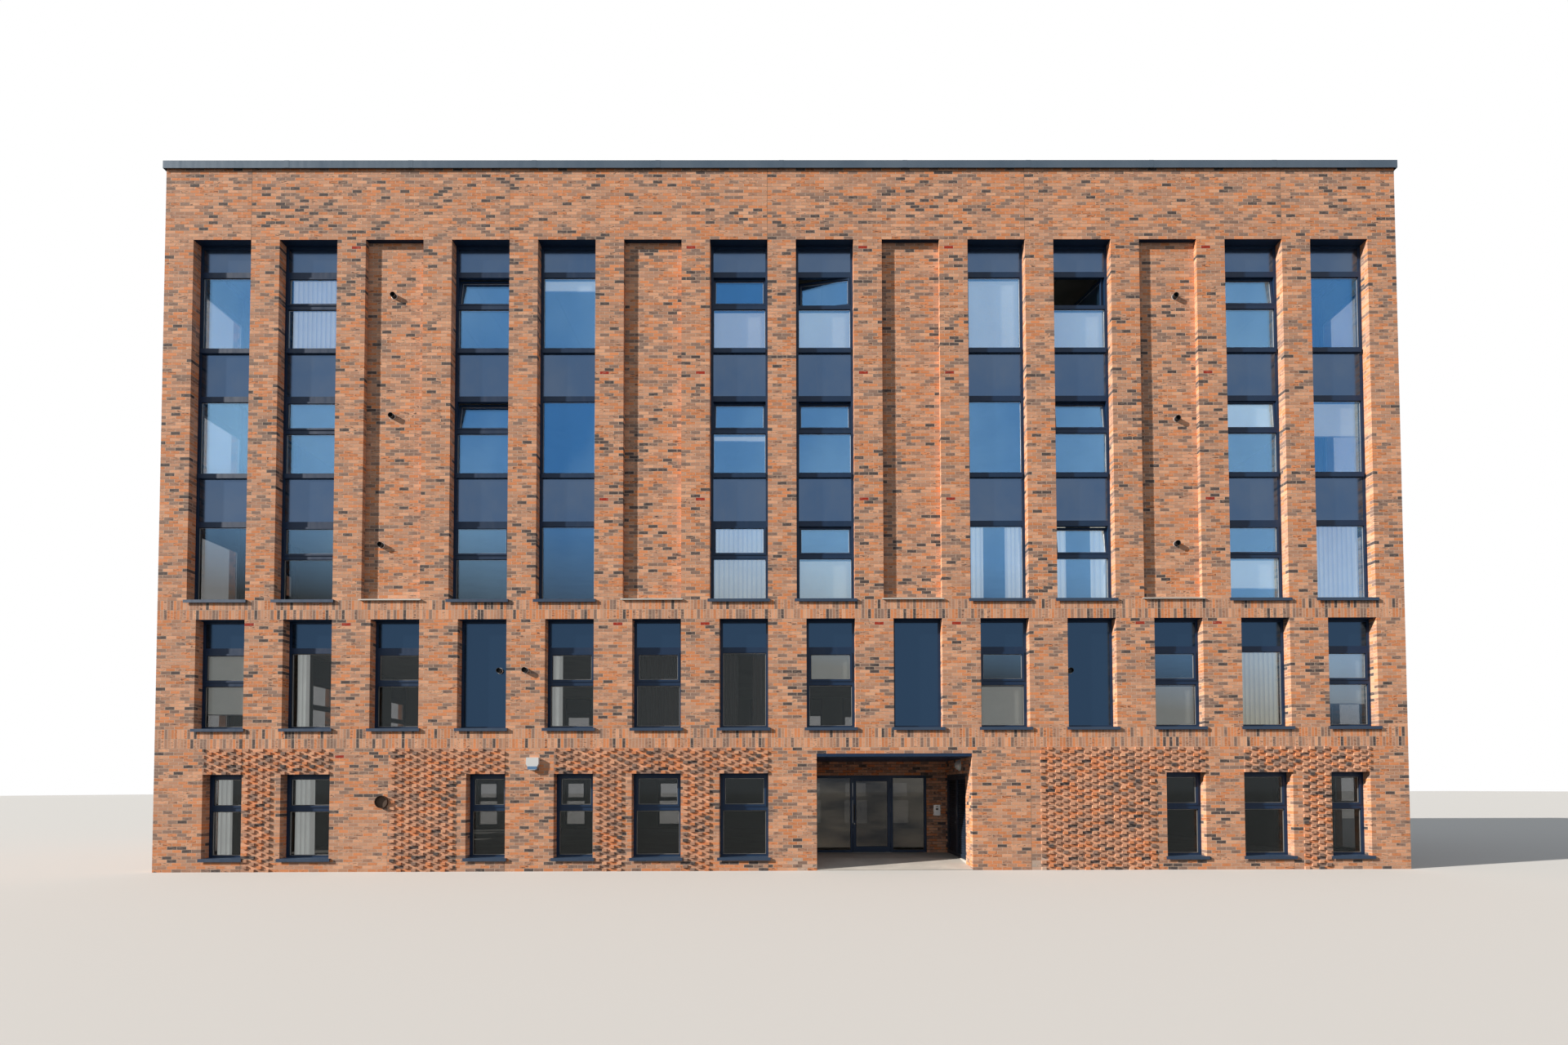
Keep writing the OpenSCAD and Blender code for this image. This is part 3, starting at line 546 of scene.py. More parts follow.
# Prism of a drawn outline, one metre long
def pullOutline(name, outline):
    piece = addPrimitive(bpy.ops.mesh.primitive_circle_add, name, vertices=len(outline), fill_type="NGON")
    for vertex, (x, y) in zip(piece.data.vertices, outline):
        vertex.co = (x, y, 0)
    bpy.ops.object.mode_set(mode="EDIT")
    bpy.ops.mesh.select_all(action="SELECT")
    bpy.ops.mesh.extrude_region_move(TRANSFORM_OT_translate={"value": (0, 0, 1)})
    bpy.ops.mesh.select_all(action="SELECT")
    bpy.ops.mesh.normals_make_consistent(inside=False)
    bpy.ops.object.mode_set(mode="OBJECT")
    return piece


# Joins copies of a modelled shape and drops the shape
def spreadShape(name, shape, matrices, key, body="root"):
    piece = finishPiece(joinCopies(name, shape.data, matrices), key, body)
    bpy.data.objects.remove(shape)
    say(f"{name}: {len(matrices)} copies, {sum(len(p.vertices) - 2 for p in piece.data.polygons)} triangles")
    return piece


# Separate bodies of a node, each as an array of points
def bodiesOf(name):
    shape = bmesh.new()
    shape.from_mesh(nodes[name].data)
    bmesh.ops.remove_doubles(shape, verts=shape.verts, dist=1e-5)
    seen, found = set(), []
    for first in shape.verts:
        if first in seen:
            continue
        seen.add(first)
        pending, points = [first], []
        while pending:
            vertex = pending.pop()
            points.append(tuple(vertex.co))
            for edge in vertex.link_edges:
                other = edge.other_vert(vertex)
                if other not in seen:
                    seen.add(other)
                    pending.append(other)
        found.append(np.array(points))
    shape.free()
    return found


# Columns of a matrix: three directions and a place
def standMatrix(across, out, along, place):
    rows = [[across[k], out[k], along[k], place[k]] for k in range(3)]
    return Matrix(rows + [[0, 0, 0, 1]])


# Where an outline drawn across a wall, into it and up, is pulled along it for this length
def alongWall(side, place, length):
    stand = standMatrix((0, 1, 0), (0, 0, 1), (1, 0, 0), place)
    return wallMatrix(side) @ stand @ Matrix.Diagonal((1, 1, length, 1))


# Bricks
brick = {
    "pitch": 0.225,
    "long": 0.215,
    "course": 0.075,
    "high": 0.065,
    "thick": 0.1025,
    "joint": 0.010,
    "proud": 0.0018,  # how far a face stands out from the mortar
    "sunk": 0.006,  # how far its back reaches into the mortar
    "blindGap": 0.006,  # between the bricks of a blind recess and its sides
    "wander": 0.0007,  # how unevenly the faces lie
    "headerOut": 0.030,  # headers of the textured panels
    "least": 0.028,  # shorter pieces aren't laid
    "stretch": 0.030,  # and the piece beside a smaller gap than this is cut longer
    "whole": 0.150,  # shorter pieces are headers
    "return": 0.010,  # thickness of what shows behind the first brick of a jamb
    "near": 0.002,  # levels and edges closer than this meet
    "edge": 0.01,  # an overlap or a distance below this doesn't count
    "bare": 0.02,  # no brick is laid in a shorter stretch of wall
    "beside": 0.05,  # nor in a shorter one beside a textured panel
    "underCoping": 0.03,  # how far the bricks stop below the top of the wall
}
halfPitch = brick["pitch"] / 2

# Colours of the mixed stock, each with its share
stock = [
    ((0.785, 0.300, 0.131), 0.24),
    ((0.835, 0.425, 0.252), 0.17),
    ((0.680, 0.352, 0.217), 0.24),
    ((0.545, 0.288, 0.188), 0.15),
    ((0.330, 0.209, 0.161), 0.13),
    ((0.108, 0.085, 0.081), 0.055),
]
firing = {
    "lift": (0.88, 1.12),  # each brick is this much darker or lighter
    "darkest": (0.25, 1.9),  # share of the darkest bricks between and in their runs
    "dark": (0.6, 0.8),
}
ventRed = (0.42, 0.035, 0.015)  # plastic weep vents


def tallOpenings(side):
    found = []
    for i in range(side["bays"]):
        left = i * block["bay"] + block["pier"]
        back = block["blind"] if i in side["blind"] else block["reveal"]
        found.append((left, left + stripWide, upperFoot, upperHead, back))
    return found


def firstOpenings(side):
    return [(i * block["bay"] + block["firstPier"], (i + 1) * block["bay"], firstFoot,
             firstFoot + block["windowHigh"], block["reveal"]) for i in range(side["bays"])]


def groundOpenings(side):
    found = []
    for i in side["wide"] + side["narrow"] + side["leftNarrow"]:
        size = block["wide"] if i in side["wide"] else block["narrow"]
        left = (i + 1) * block["bay"] - size
        if i in side["leftNarrow"]:
            left = i * block["bay"] + block["firstPier"]
        found.append((left, left + size, block["groundFoot"], block["groundHead"], block["reveal"]))
    return sorted(found)


def allOpenings(side):
    return tallOpenings(side) + firstOpenings(side) + groundOpenings(side)


# Textured panels: low ones above the windows and tall ones beside or between them
def texturedPanels(side):
    spans = [(*span, block["groundHead"], block["bandLow"]) for span in side["texturedAbove"]]
    spans += [(*span, 0.0, block["groundHead"]) for span in side["texturedBeside"]]
    pitch, joint = brick["pitch"], brick["joint"]
    return [(a * pitch, b * pitch - joint, foot, head) for a, b, foot, head in spans]


# Weep vents: course above the lower band, with the bay and the share of it
ventPlaces = {
    157: [2.18, 5.62, 6.12, 8.16, 8.59, 9.15, 12.16],
    117: [5.14, 5.45, 6.18, 8.15, 8.56, 9.14, 12.15],
    77: [5.14, 5.74, 6.17, 8.15, 8.82, 9.14, 12.14],
    38: [1.11, 2.15, 5.28, 6.24, 8.24, 9.19, 11.26, 12.19],
    -3: [2.16],
}


# Bricks of one wall. Its odd and even courses may be swapped; corners tells at which ends its own
# bricks turn the corner, because at the others it stops against the next wall
class BrickPile:
    def __init__(self, wall, run, swapped, corners, joints=()):
        self.wall, self.run, self.swapped, self.corners, self.joints = wall, run, swapped, corners, joints
        self.boxes, self.tones, self.ends = [], [], []

    # u0 to u1 along the wall, d0 to d1 into it, z0 to z1 up, with the upright joint at its right
    def lay(self, u0, u1, d0, d1, z0, z1, joint=0.0):
        self.boxes.append((u0, u1 + joint, d0, d1, z0, z1))
        self.tones.append(pickTone(u0, z0))
        self.ends.append(brick["joint"] - joint)


def courseAt(z):
    return round(z / brick["course"])


# Dark bricks come in runs, so the share follows a slow wave along the wall
def pickTone(u, z):
    run = 0.5 + 0.5 * math.sin(u * 0.9 + 2.1 * math.sin(z * 1.7)) * math.sin(z * 2.3 + u * 0.35)
    roll = dice.random()
    shares = [share for tone, share in stock]
    shares[-1] *= firing["darkest"][0] + firing["darkest"][1] * run * run
    shares[-2] *= firing["dark"][0] + firing["dark"][1] * run
    roll *= sum(shares)
    for (tone, share), kept in zip(stock, shares):
        roll -= kept
        if roll <= 0:
            break
    lift = dice.uniform(*firing["lift"])
    return tuple(min(0.9, c * lift) for c in tone)


# Stretches of solid wall between the openings that a course meets
def solidRuns(low, high, z0, z1, openings):
    runs = []
    start, startBack = low, None
    for u0, u1, foot, head, back in sorted(openings):
        if foot < z1 - brick["near"] and head > z0 + brick["near"]:
            runs.append((start, u0, startBack, back))
            start, startBack = u1, back
    runs.append((start, high, startBack, None))
    return [r for r in runs if r[1] - r[0] > brick["bare"]]


# Bricks of one bond between u0 and u1: pieces as start, end and how far out
def bondPieces(u0, u1, offset, textured):
    pieces = []
    pitch = brick["pitch"] * (1.5 if textured else 1)
    k = math.floor((u0 - offset) / pitch) - 1
    while k * pitch + offset < u1:
        start = k * pitch + offset
        pieces.append((start, start + brick["long"], 0.0))
        if textured:
            head = start + brick["long"] + brick["joint"]
            pieces.append((head, head + brick["thick"], brick["headerOut"]))
        k += 1
    kept = []
    for a, b, out in pieces:
        a, b = max(a, u0), min(b, u1)
        if b - a > brick["least"]:
            kept.append([a, b, out])
    if kept and kept[0][0] - u0 < brick["stretch"]:
        kept[0][0] = u0
    if kept and u1 - kept[-1][1] < brick["stretch"]:
        kept[-1][1] = u1
    return kept


# One course between u0 and u1, with what each end meets: a corner, the depth of a jamb or nothing
def layRun(pile, u0, u1, z0, z1, offset, ends, textured=False, depth=0.0, heads=()):
    proud, thick, near = brick["proud"], brick["thick"], brick["near"]
    pieces = bondPieces(u0, u1, offset, textured)
    last = len(pieces) - 1
    for number, (a, b, out) in enumerate(pieces):
        back = depth + brick["sunk"]
        grow = [0.0, 0.0]
        for edge, where, jamb in ((0, abs(a - u0) < near, ends[0]), (1, abs(b - u1) < near, ends[1])):
            if not (where and jamb):
                continue
            grow[edge] = proud
            header = b - a < brick["whole"]
            if jamb == "corner":
                back = brick["long"] if header else thick
            elif header or jamb < brick["whole"]:
                back = min(brick["long"], jamb) - proud
            else:
                back = thick
                low, high = (b - brick["return"], b + proud) if edge else (a - proud, a + brick["return"])
                pile.lay(low, high, thick + brick["joint"], jamb - proud, z0, z1)
        foot = z0
        under = [h[4] for h in heads if h[0] < b - brick["edge"] and h[1] > a + brick["edge"]
                 and abs(h[3] - z0) < near]
        if under:  # it shows its underside over an opening
            foot = z0 - proud
            back = max(back, min(under) - proud)
        joint = brick["joint"] if number < last and not out and not pieces[number + 1][2] else 0.0
        pile.lay(a - grow[0], b + grow[1], depth - proud - out, back, foot, z1, joint)


def splitAt(runs, joints):
    parts = []
    for u0, u1, first, last in runs:
        start, kind = u0, first
        for j in joints:
            if start + brick["stretch"] < j - brick["joint"] and j < u1 - brick["stretch"]:
                parts.append((start, j - brick["joint"], kind, None))
                start, kind = j, None
        parts.append((start, u1, kind, last))
    return parts


# Where textured panels cut a course, as start, end and whether it is textured
def panelCuts(u0, u1, z0, panels):
    cuts = [(u0, u1, False)]
    for a, b, foot, head in panels:
        if not foot - brick["near"] <= z0 < head - brick["near"]:
            continue
        found = []
        for p, q, textured in cuts:
            if textured or b <= p or a >= q:
                found.append((p, q, textured))
                continue
            if a - p > brick["beside"]:
                found.append((p, a - brick["joint"], False))
            found.append((max(p, a), min(q, b), True))
            if q - b > brick["beside"]:
                found.append((b + brick["joint"], q, False))
        cuts = found
    return cuts


def layCourses(pile, c0, c1, openings, panels=()):
    near = brick["near"]
    heads = [o for o in openings if o[4] != "corner"]
    for c in range(c0, c1):
        z0 = c * brick["course"]
        z1 = z0 + brick["high"]
        odd = (c % 2 == 1) != pile.swapped
        inset = [0 if corner else halfPitch if odd else brick["pitch"] for corner in pile.corners]
        runs = solidRuns(inset[0], pile.run - inset[1], z0, z1, openings)
        for u0, u1, first, last in splitAt(runs, pile.joints):
            first = "corner" if first is None and pile.corners[0] and abs(u0) < near else first
            last = "corner" if last is None and pile.corners[1] and abs(u1 - pile.run) < near else last
            for p, q, textured in panelCuts(u0, u1, z0, panels):
                ends = (first if abs(p - u0) < near else None, last if abs(q - u1) < near else None)
                shift = (0.75 * brick["pitch"] if textured else -halfPitch) if odd else 0.0
                layRun(pile, p, q, z0, z1, shift, ends, textured, 0.0, heads)


# Two courses of bricks on end, stacked
def layBand(pile, foot, openings):
    corners = pile.corners[0]
    inset = 0 if corners else halfPitch
    stop = pile.run - inset
    for row in range(2):
        z0 = foot + row * brick["pitch"]
        u = inset
        while u < stop - brick["stretch"]:
            left, right, back, bottom = u, u + brick["high"], brick["sunk"], z0
            if corners and left < brick["edge"]:
                left, back = left - brick["proud"], brick["thick"]
            if corners and pile.run - right < brick["edge"]:
                right, back = right + brick["proud"], brick["thick"]
            over = [o for o in openings if o[0] < right and o[1] > left and abs(o[3] - foot) < brick["near"]]
            if row == 0 and over:
                back, bottom = block["reveal"] - brick["proud"], z0 - brick["proud"]
            last = any(abs(right + brick["joint"] - j) < brick["near"] for j in pile.joints)
            joint = 0.0 if last or stop - right < brick["stretch"] else brick["joint"]
            pile.lay(left, right, -brick["proud"], back, bottom, z0 + brick["long"], joint)
            u += brick["course"]


# The brick box, closed, from which every brick is laid
def brickShape():
    piece = addBox("brickShape", (0, 0, 0), (1, 1, 1))
    points = np.array([v.co for v in piece.data.vertices])
    faces = np.array([list(p.vertices) for p in piece.data.polygons])
    bpy.data.objects.remove(piece)
    return points, faces


shapePoints, shapeFaces = brickShape()


def buildBricks(name, piles):
    points, tones, gaps = [], [], []
    for pile in piles:
        box = np.array(pile.boxes)
        run = (box[:, 1] - box[:, 0])[:, None] * (1 - shapePoints[None, :, 0])
        gaps.append((run + np.array(pile.ends)[:, None]).ravel())
        low, size = box[:, 0::2], box[:, 1::2] - box[:, 0::2]
        corner = low[:, None, :] + shapePoints[None] * size[:, None, :]
        front = shapePoints[:, 1] < 0.5
        slack = np.array([[dice.uniform(-1, 1) for _ in range(5)] for _ in pile.boxes])
        tilt = slack[:, :1] + 0.4 * slack[:, 1:2] * (shapePoints[front, 0] - 0.5)
        tilt = tilt + 0.4 * slack[:, 2:3] * (shapePoints[front, 2] - 0.5)
        corner[:, front, 1] += brick["wander"] * tilt
        turn = np.array(wallMatrix(pile.wall))
        points.append(corner.reshape(-1, 3) @ turn[:3, :3].T + turn[:3, 3])
        tones += pile.tones
    points = np.concatenate(points)
    count = len(tones)
    faces = (np.arange(count)[:, None, None] * 8 + shapeFaces[None]).reshape(-1)
    mesh = bpy.data.meshes.new(name)
    mesh.vertices.add(len(points))
    mesh.vertices.foreach_set("co", points.astype(np.float32).ravel())
    mesh.loops.add(len(faces))
    mesh.loops.foreach_set("vertex_index", faces.astype(np.int32))
    mesh.polygons.add(count * 6)
    mesh.polygons.foreach_set("loop_start", np.arange(0, count * 24, 4, dtype=np.int32))
    mesh.update(calc_edges=True)
    mesh.validate()
    mesh.shade_flat()
    looks = {  # read by the finish of the bricks
        "clay": ("FLOAT_COLOR", "color", np.repeat(np.c_[tones, np.ones(count)], 8, axis=0)),
        "toEnd": ("FLOAT", "value", np.concatenate(gaps)),
        "seed": ("FLOAT", "value", np.repeat([dice.uniform(0, 9) for _ in range(count)], 8)),
        "burn": ("FLOAT", "value", np.repeat([dice.random() ** 2 for _ in range(count)], 8)),
    }
    for key, (kind, field, values) in looks.items():
        data = mesh.attributes.new(key, kind, "POINT").data
        data.foreach_set(field, values.astype(np.float32).ravel())
    piece = bpy.data.objects.new(name, mesh)
    bpy.context.scene.collection.objects.link(piece)
    finishPiece(piece, "brick")
    say(f"{name}: {count} bricks, {count * 12} triangles")


def markVents(pile):
    boxes = np.array(pile.boxes)
    for course, places in ventPlaces.items():
        z = block["bandLow"] + course * brick["course"] + brick["high"] / 2
        for place in places:
            u = place * block["bay"]
            hit = (boxes[:, 0] <= u) & (boxes[:, 1] > u) & (boxes[:, 4] <= z) & (boxes[:, 5] > z)
            hit &= boxes[:, 2] < brick["edge"]
            for index in np.flatnonzero(hit)[:1]:
                pile.tones[index] = ventRed


# Salts and spalling in the lowest courses beside the entrance
salts = {
    "pale": (0.66, 0.58, 0.50),
    "blend": 0.6,
    "share": 0.55,
    "left": (-0.75, 0.0, 0.24),  # from and to, from the doorway's edge, and how high
    "right": (1.25, 1.6, 0.30),
}


def markSalts(pile):
    blend = salts["blend"]
    places = ((doorwayLeft, *salts["left"]), (doorwayRight, *salts["right"]))
    for index, box in enumerate(pile.boxes):
        hit = any(edge + low < box[0] < edge + high and box[4] < top for edge, low, high, top in places)
        if hit and dice.random() < salts["share"]:
            tone = pile.tones[index]
            pile.tones[index] = tuple((1 - blend) * a + blend * b for a, b in zip(tone, salts["pale"]))


def bricksOf(name):
    side = elevations[name]
    long = side["run"] == wide
    tall, first, ground = tallOpenings(side), firstOpenings(side), groundOpenings(side)
    joints = [m * block["bay"] for m in side["movement"]]
    upper, lower = [BrickPile(name, side["run"], not long, (long, long), joints) for _ in range(2)]
    topCourse = math.floor((wallTop - brick["underCoping"]) / brick["course"])
    gap = brick["blindGap"]
    layCourses(upper, courseAt(upperFoot), topCourse, tall)
    for i in side["blind"]:
        left = i * block["bay"] + block["pier"]
        for c in range(courseAt(upperFoot), courseAt(upperHead)):
            z0 = c * brick["course"]
            layRun(upper, left + gap, left + stripWide - gap, z0, z0 + brick["high"],
                   -halfPitch if c % 2 else 0.0, (None, None), depth=block["blind"])
    layBand(lower, upperFoot - block["band"], first)
    layCourses(lower, courseAt(firstFoot), courseAt(upperFoot - block["band"]), first)
    layBand(lower, block["bandLow"], [])
    if name == "front":
        ground = ground + [(doorwayLeft, doorwayRight, -1, doorwayHead, "corner")]
    layCourses(lower, 0, courseAt(block["bandLow"]), ground, texturedPanels(side))
    if name == "front":
        markVents(upper)
        markVents(lower)
        markSalts(lower)
    return upper, lower


# Walls of the entrance recess: how far bricks go back at their openings, and how far any is kept
recess = {
    "louvreJamb": 0.02,
    "screenJamb": 0.055,
    "kept": 0.02,
    "thinnest": 0.004,
    "sliver": 0.01,  # pieces that start further back aren't seen
}


def recessBricks():
    front = recessDeep - (louvreLow.y + deep / 2)
    rear = recessDeep - (louvreHigh.y + deep / 2)
    doors = [(rear, front, -1, louvreHigh.z, recess["louvreJamb"])]
    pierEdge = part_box("recess_back_pier")[0].x + wide / 2 - doorwayLeft
    screen = [(0.0, pierEdge, -1, louvreHigh.z, recess["screenJamb"])]
    piles = []
    for wall, run, swapped, corners, openings in (
            ("recessLeft", recessDeep, True, (False, True), []),
            ("recessRight", recessDeep, True, (True, False), doors),
            ("recessBack", doorwayRight - doorwayLeft, False, (True, True), screen)):
        pile = BrickPile(wall, run, swapped, corners)
        layCourses(pile, 0, courseAt(soffitLow.z), openings)
        pile.boxes = [(*box[:3], min(box[3], recess["kept"]), *box[4:]) for box in pile.boxes]
        shown = [k for k, box in enumerate(pile.boxes)
                 if box[3] - box[2] > recess["thinnest"] and box[2] < recess["sliver"]]
        pile.boxes, pile.tones, pile.ends = [
            [values[k] for k in shown] for values in (pile.boxes, pile.tones, pile.ends)]
        piles.append(pile)
    return piles


for wallName in elevations:
    for level, pile in zip(("upper", "lower"), bricksOf(wallName)):
        buildBricks(f"{wallName}_{level}_bricks", [pile])
buildBricks("recess_bricks", recessBricks())
say("bricks are laid")

# Seals of the movement joints
seal = {
    "outline": [(-0.010, -0.0014), (-0.005, -0.0005), (0.0, -0.0014), (0.0, 0.004), (-0.010, 0.004)],
    "least": 0.05,  # shorter lengths are left out
}


def sealJoints():
    matrices = []
    for name, side in elevations.items():
        for m in side["movement"]:
            at = m * block["bay"]
            spans = [0.0, wallTop - brick["underCoping"]]
            for u0, u1, foot, head, back in allOpenings(side):
                if abs(u1 - at) < brick["edge"] and back == block["reveal"]:
                    spans += [foot, head]
            spans.sort()
            for low, high in zip(spans[0::2], spans[1::2]):
                if high - low > seal["least"]:
                    place = Matrix.Translation((at, 0, low)) @ Matrix.Diagonal((1, 1, high - low, 1))
                    matrices.append(wallMatrix(name) @ place)
    spreadShape("movement_seals", pullOutline("seal", seal["outline"]), matrices, "seal")


# Straps over the coping joints
strap = {
    "wide": 0.110,
    "thick": 0.0018,
    "length": 2.98,  # coping lengths are no longer than this
    "past": 0.05,  # how far the long copings run past the walls
    "start": 0.456,  # where the copings of the ends start
    "half": 0.250,
    "leg": 0.174,
    "innerLeg": 0.084,
    "fall": 0.012,
}


def strapCoping():
    h, t, f, leg, inner = [strap[key] for key in ("half", "thick", "fall", "leg", "innerLeg")]
    outline = [(-h - t, -leg), (-h - t, t), (h + t, t - f), (h + t, -inner),
               (h, -inner), (h, -f), (-h, 0), (-h, -leg)]
    matrices = []
    for name, side in elevations.items():
        low = -strap["past"] if side["run"] == wide else strap["start"]
        high = side["run"] - low
        count = math.ceil((high - low) / strap["length"])
        for k in range(1, count):
            at = low + (high - low) * k / count - strap["wide"] / 2
            place = (at, block["wall"] / 2, cadBounds[1][2])
            matrices.append(alongWall(name, place, strap["wide"]))
    spreadShape("coping_straps", pullOutline("strap", outline), matrices, "coping")


# Glazing: a black gasket on each pane and the pale spacer between its two sheets
glazing = {
    "gasket": [(0.0, 0.0), (0.009, 0.0), (0.009, 0.0015), (0.004, 0.005), (0.0, 0.005)],
    "gasketWide": 0.009,
    "spacer": [(0.002, -0.021), (0.015, -0.021), (0.017, -0.019), (0.017, -0.008), (0.015, -0.006),
               (0.002, -0.006)],
    "spacerWide": 0.017,
}


# Pane of eight corners: lower left corner of its outer face, directions across, up and out, and its size
def paneFrame(points, outward):
    middle = points.mean(axis=0)
    ways = np.linalg.eigh(np.cov((points - middle).T))[1]
    out = Vector(ways[:, 0])
    if out.dot(outward) < 0:
        out = -out
    across = Vector((0, 0, 1)).cross(out).normalized()
    up = out.cross(across)
    reach = [[(Vector(p - middle)).dot(w) for p in points] for w in (across, up, out)]
    low = [min(r) for r in reach]
    high = [max(r) for r in reach]
    corner = Vector(middle) + across * low[0] + up * low[1] + out * high[2]
    return corner, across, up, out, high[0] - low[0], high[1] - low[1]


def barsAround(pane, barWide):
    corner, across, up, out, w, h = pane
    inner = h - 2 * barWide
    return [
        standMatrix(up, out, across * w, corner),
        standMatrix(-up, out, -across * w, corner + across * w + up * h),
        standMatrix(-across, out, up * inner, corner + across * w + up * barWide),
        standMatrix(across, out, -up * inner, corner + up * (h - barWide)),
    ]


def glazeWindows():
    fixed = []
    for name, outward in (("front_glass", (0, -1, 0)), ("back_glass", (0, 1, 0)), ("end_glass", None),
                          ("entrance_screen_glass", (0, -1, 0))):
        for points in bodiesOf(name):
            towards = outward or (math.copysign(1, points[:, 0].mean()), 0, 0)
            fixed.append(paneFrame(points, Vector(towards)))
    leaf = [paneFrame(points, Vector((0, -1, 0))) for points in bodiesOf("entrance_door_glass")]
    for panes, names, body in ((fixed, ("glazing_gaskets", "glazing_spacers"), "root"),
                               (leaf, ("door_gasket", "door_spacer"), "entrance_leaf")):
        for name, kind, key in ((names[0], "gasket", "rubber"), (names[1], "spacer", "spacer")):
            bars = [bar for pane in panes for bar in barsAround(pane, glazing[kind + "Wide"])]
            spreadShape(name, pullOutline(kind, glazing[kind]), bars, key, body)


# Dark steel plates that carry the brickwork over each opening; their dark also stands for the shade under the
# heads, as painted shade
plate = {
    "front": 0.008,
    "lip": 0.0045,
    "thick": 0.0025,
    "under": 0.0026,  # below the head of the opening
    "clear": 0.006,  # from the frames
    "side": 0.004,  # and from the jambs
}


def plateHeads():
    front, low, thick = plate["front"], -plate["under"], plate["thick"]
    lip = low - plate["lip"]
    for depth, name in ((block["reveal"], "window_head_plates"), (block["blind"], "recess_head_plates")):
        end = depth - plate["clear"]
        outline = [(front, lip), (front + thick, lip), (front + thick, low - thick),
                   (end, low - thick), (end, low), (front, low)]
        matrices = [alongWall(wallName, (u0 + plate["side"], 0, head), u1 - u0 - 2 * plate["side"])
                    for wallName, side in elevations.items()
                    for u0, u1, foot, head, back in allOpenings(side) if back == depth]
        spreadShape(name, pullOutline("plate", outline), matrices, "frames")


# Small fittings of the front and the entrance
fitting = {
    "collar": (0.0655, 0.0060, 28),  # ring where a duct leaves the wall: radius, thickness and sides
    "lightRing": (0.133, 0.0085, 48),
    "lens": (0.035, 0.012, 0.085),  # from the sides of the alarm box, and its foot and head
    "buttonPitch": 0.030,
    "buttonFoot": 0.045,
    "key": (0.0075, 0.003, 16, 0.0008),  # radius, height, sides and rounding
    "slot": (0.030, 0.0016, 0.0012),  # half its length and height, and how far it stands out
    "slotPitch": 0.008,
    "slotHead": 0.028,
    "screen": (0.032, 0.150, 0.200),  # half its width, its foot and head
    "threshold": (0.055, 0.004, 0.0038),  # its front and back edge from the handle's back, and its height
    "thresholdPast": 0.02,
    "lockHeight": 0.93,
    "rose": (0.025, 0.006),
    "barrel": (0.0095, 0.0035),
    "louvreLock": (0.019, 0.004),
    "louvreLockHeight": 1.02,
    "louvreLockIn": 0.028,  # from the edge of the door
}
facingFront = ((1, 0, 0), (0, 0, 1), (0, -1, 0))


def addRing(name, radius, thick, segments):
    piece = addPrimitive(bpy.ops.mesh.primitive_torus_add, name, major_radius=radius, minor_radius=thick,
                         major_segments=segments, minor_segments=8)
    bpy.ops.object.shade_smooth()
    return piece


def turnedDisc(name, radius, high, sides=24, rim=0.0012):
    piece = addPrimitive(bpy.ops.mesh.primitive_cylinder_add, name, vertices=sides, radius=radius,
                         depth=high, location=(0, 0, high / 2))
    return roundEdges(settle(piece), rim)


def collarDucts():
    rings = []
    for points in bodiesOf("duct_terminals"):
        low, high = points.min(axis=0), points.max(axis=0)
        outward = -1 if low[1] < 0 else 1
        wallFace = (high if outward < 0 else low)[1] + outward * 0.005
        place = ((low[0] + high[0]) / 2, wallFace, (low[2] + high[2]) / 2)
        rings.append(standMatrix((outward, 0, 0), (0, 0, 1), (0, -outward, 0), place))
    spreadShape("duct_collars", addRing("collar", *fitting["collar"]), rings, "spacer")


def fitAlarm():
    low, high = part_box("alarm_box")
    side, foot, head = fitting["lens"]
    lens = addBox("alarm_lens", (low.x + side, low.y - 0.0022, low.z + foot),
                  (high.x - side, low.y + 0.012, low.z + head))
    finishPiece(roundEdges(lens, 0.002), "blueLens")


def fitBulkhead():
    low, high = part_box("bulkhead_light")
    place = (high.x - 0.010, (low.y + high.y) / 2, (low.z + high.z) / 2)
    matrices = [standMatrix((0, 1, 0), (0, 0, 1), (1, 0, 0), place)]
    spreadShape("bulkhead_ring", addRing("ring", *fitting["lightRing"]), matrices, "plastic")


def fitEntryPanel():
    low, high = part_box("entry_panel")
    middle = (low.x + high.x) / 2
    pitch, foot = fitting["buttonPitch"], low.z + fitting["buttonFoot"]
    keys = [standMatrix(*facingFront, (middle + (k - 1) * pitch, low.y, foot + row * pitch * 0.8))
            for row in range(4) for k in range(3)]
    spreadShape("panel_keys", turnedDisc("key", *fitting["key"]), keys, "steel")
    half, tall, out = fitting["slot"]
    slot = roundEdges(addBox("slot", (-half, -tall, 0), (half, tall, out)), 0.0007)
    top, slotPitch = high.z - fitting["slotHead"], fitting["slotPitch"]
    slots = [standMatrix(*facingFront, (middle, low.y, top - slotPitch * k)) for k in range(6)]
    spreadShape("panel_slots", slot, slots, "rubber")
    half, foot, head = fitting["screen"]
    screen = addBox("panel_screen", (middle - half, low.y - 0.0018, low.z + foot),
                    (middle + half, low.y + 0.001, low.z + head))
    # The screen takes the shaded glass, whose dark tone is painted shade
    finishPiece(roundEdges(screen, 0.0012), "shadedGlass")


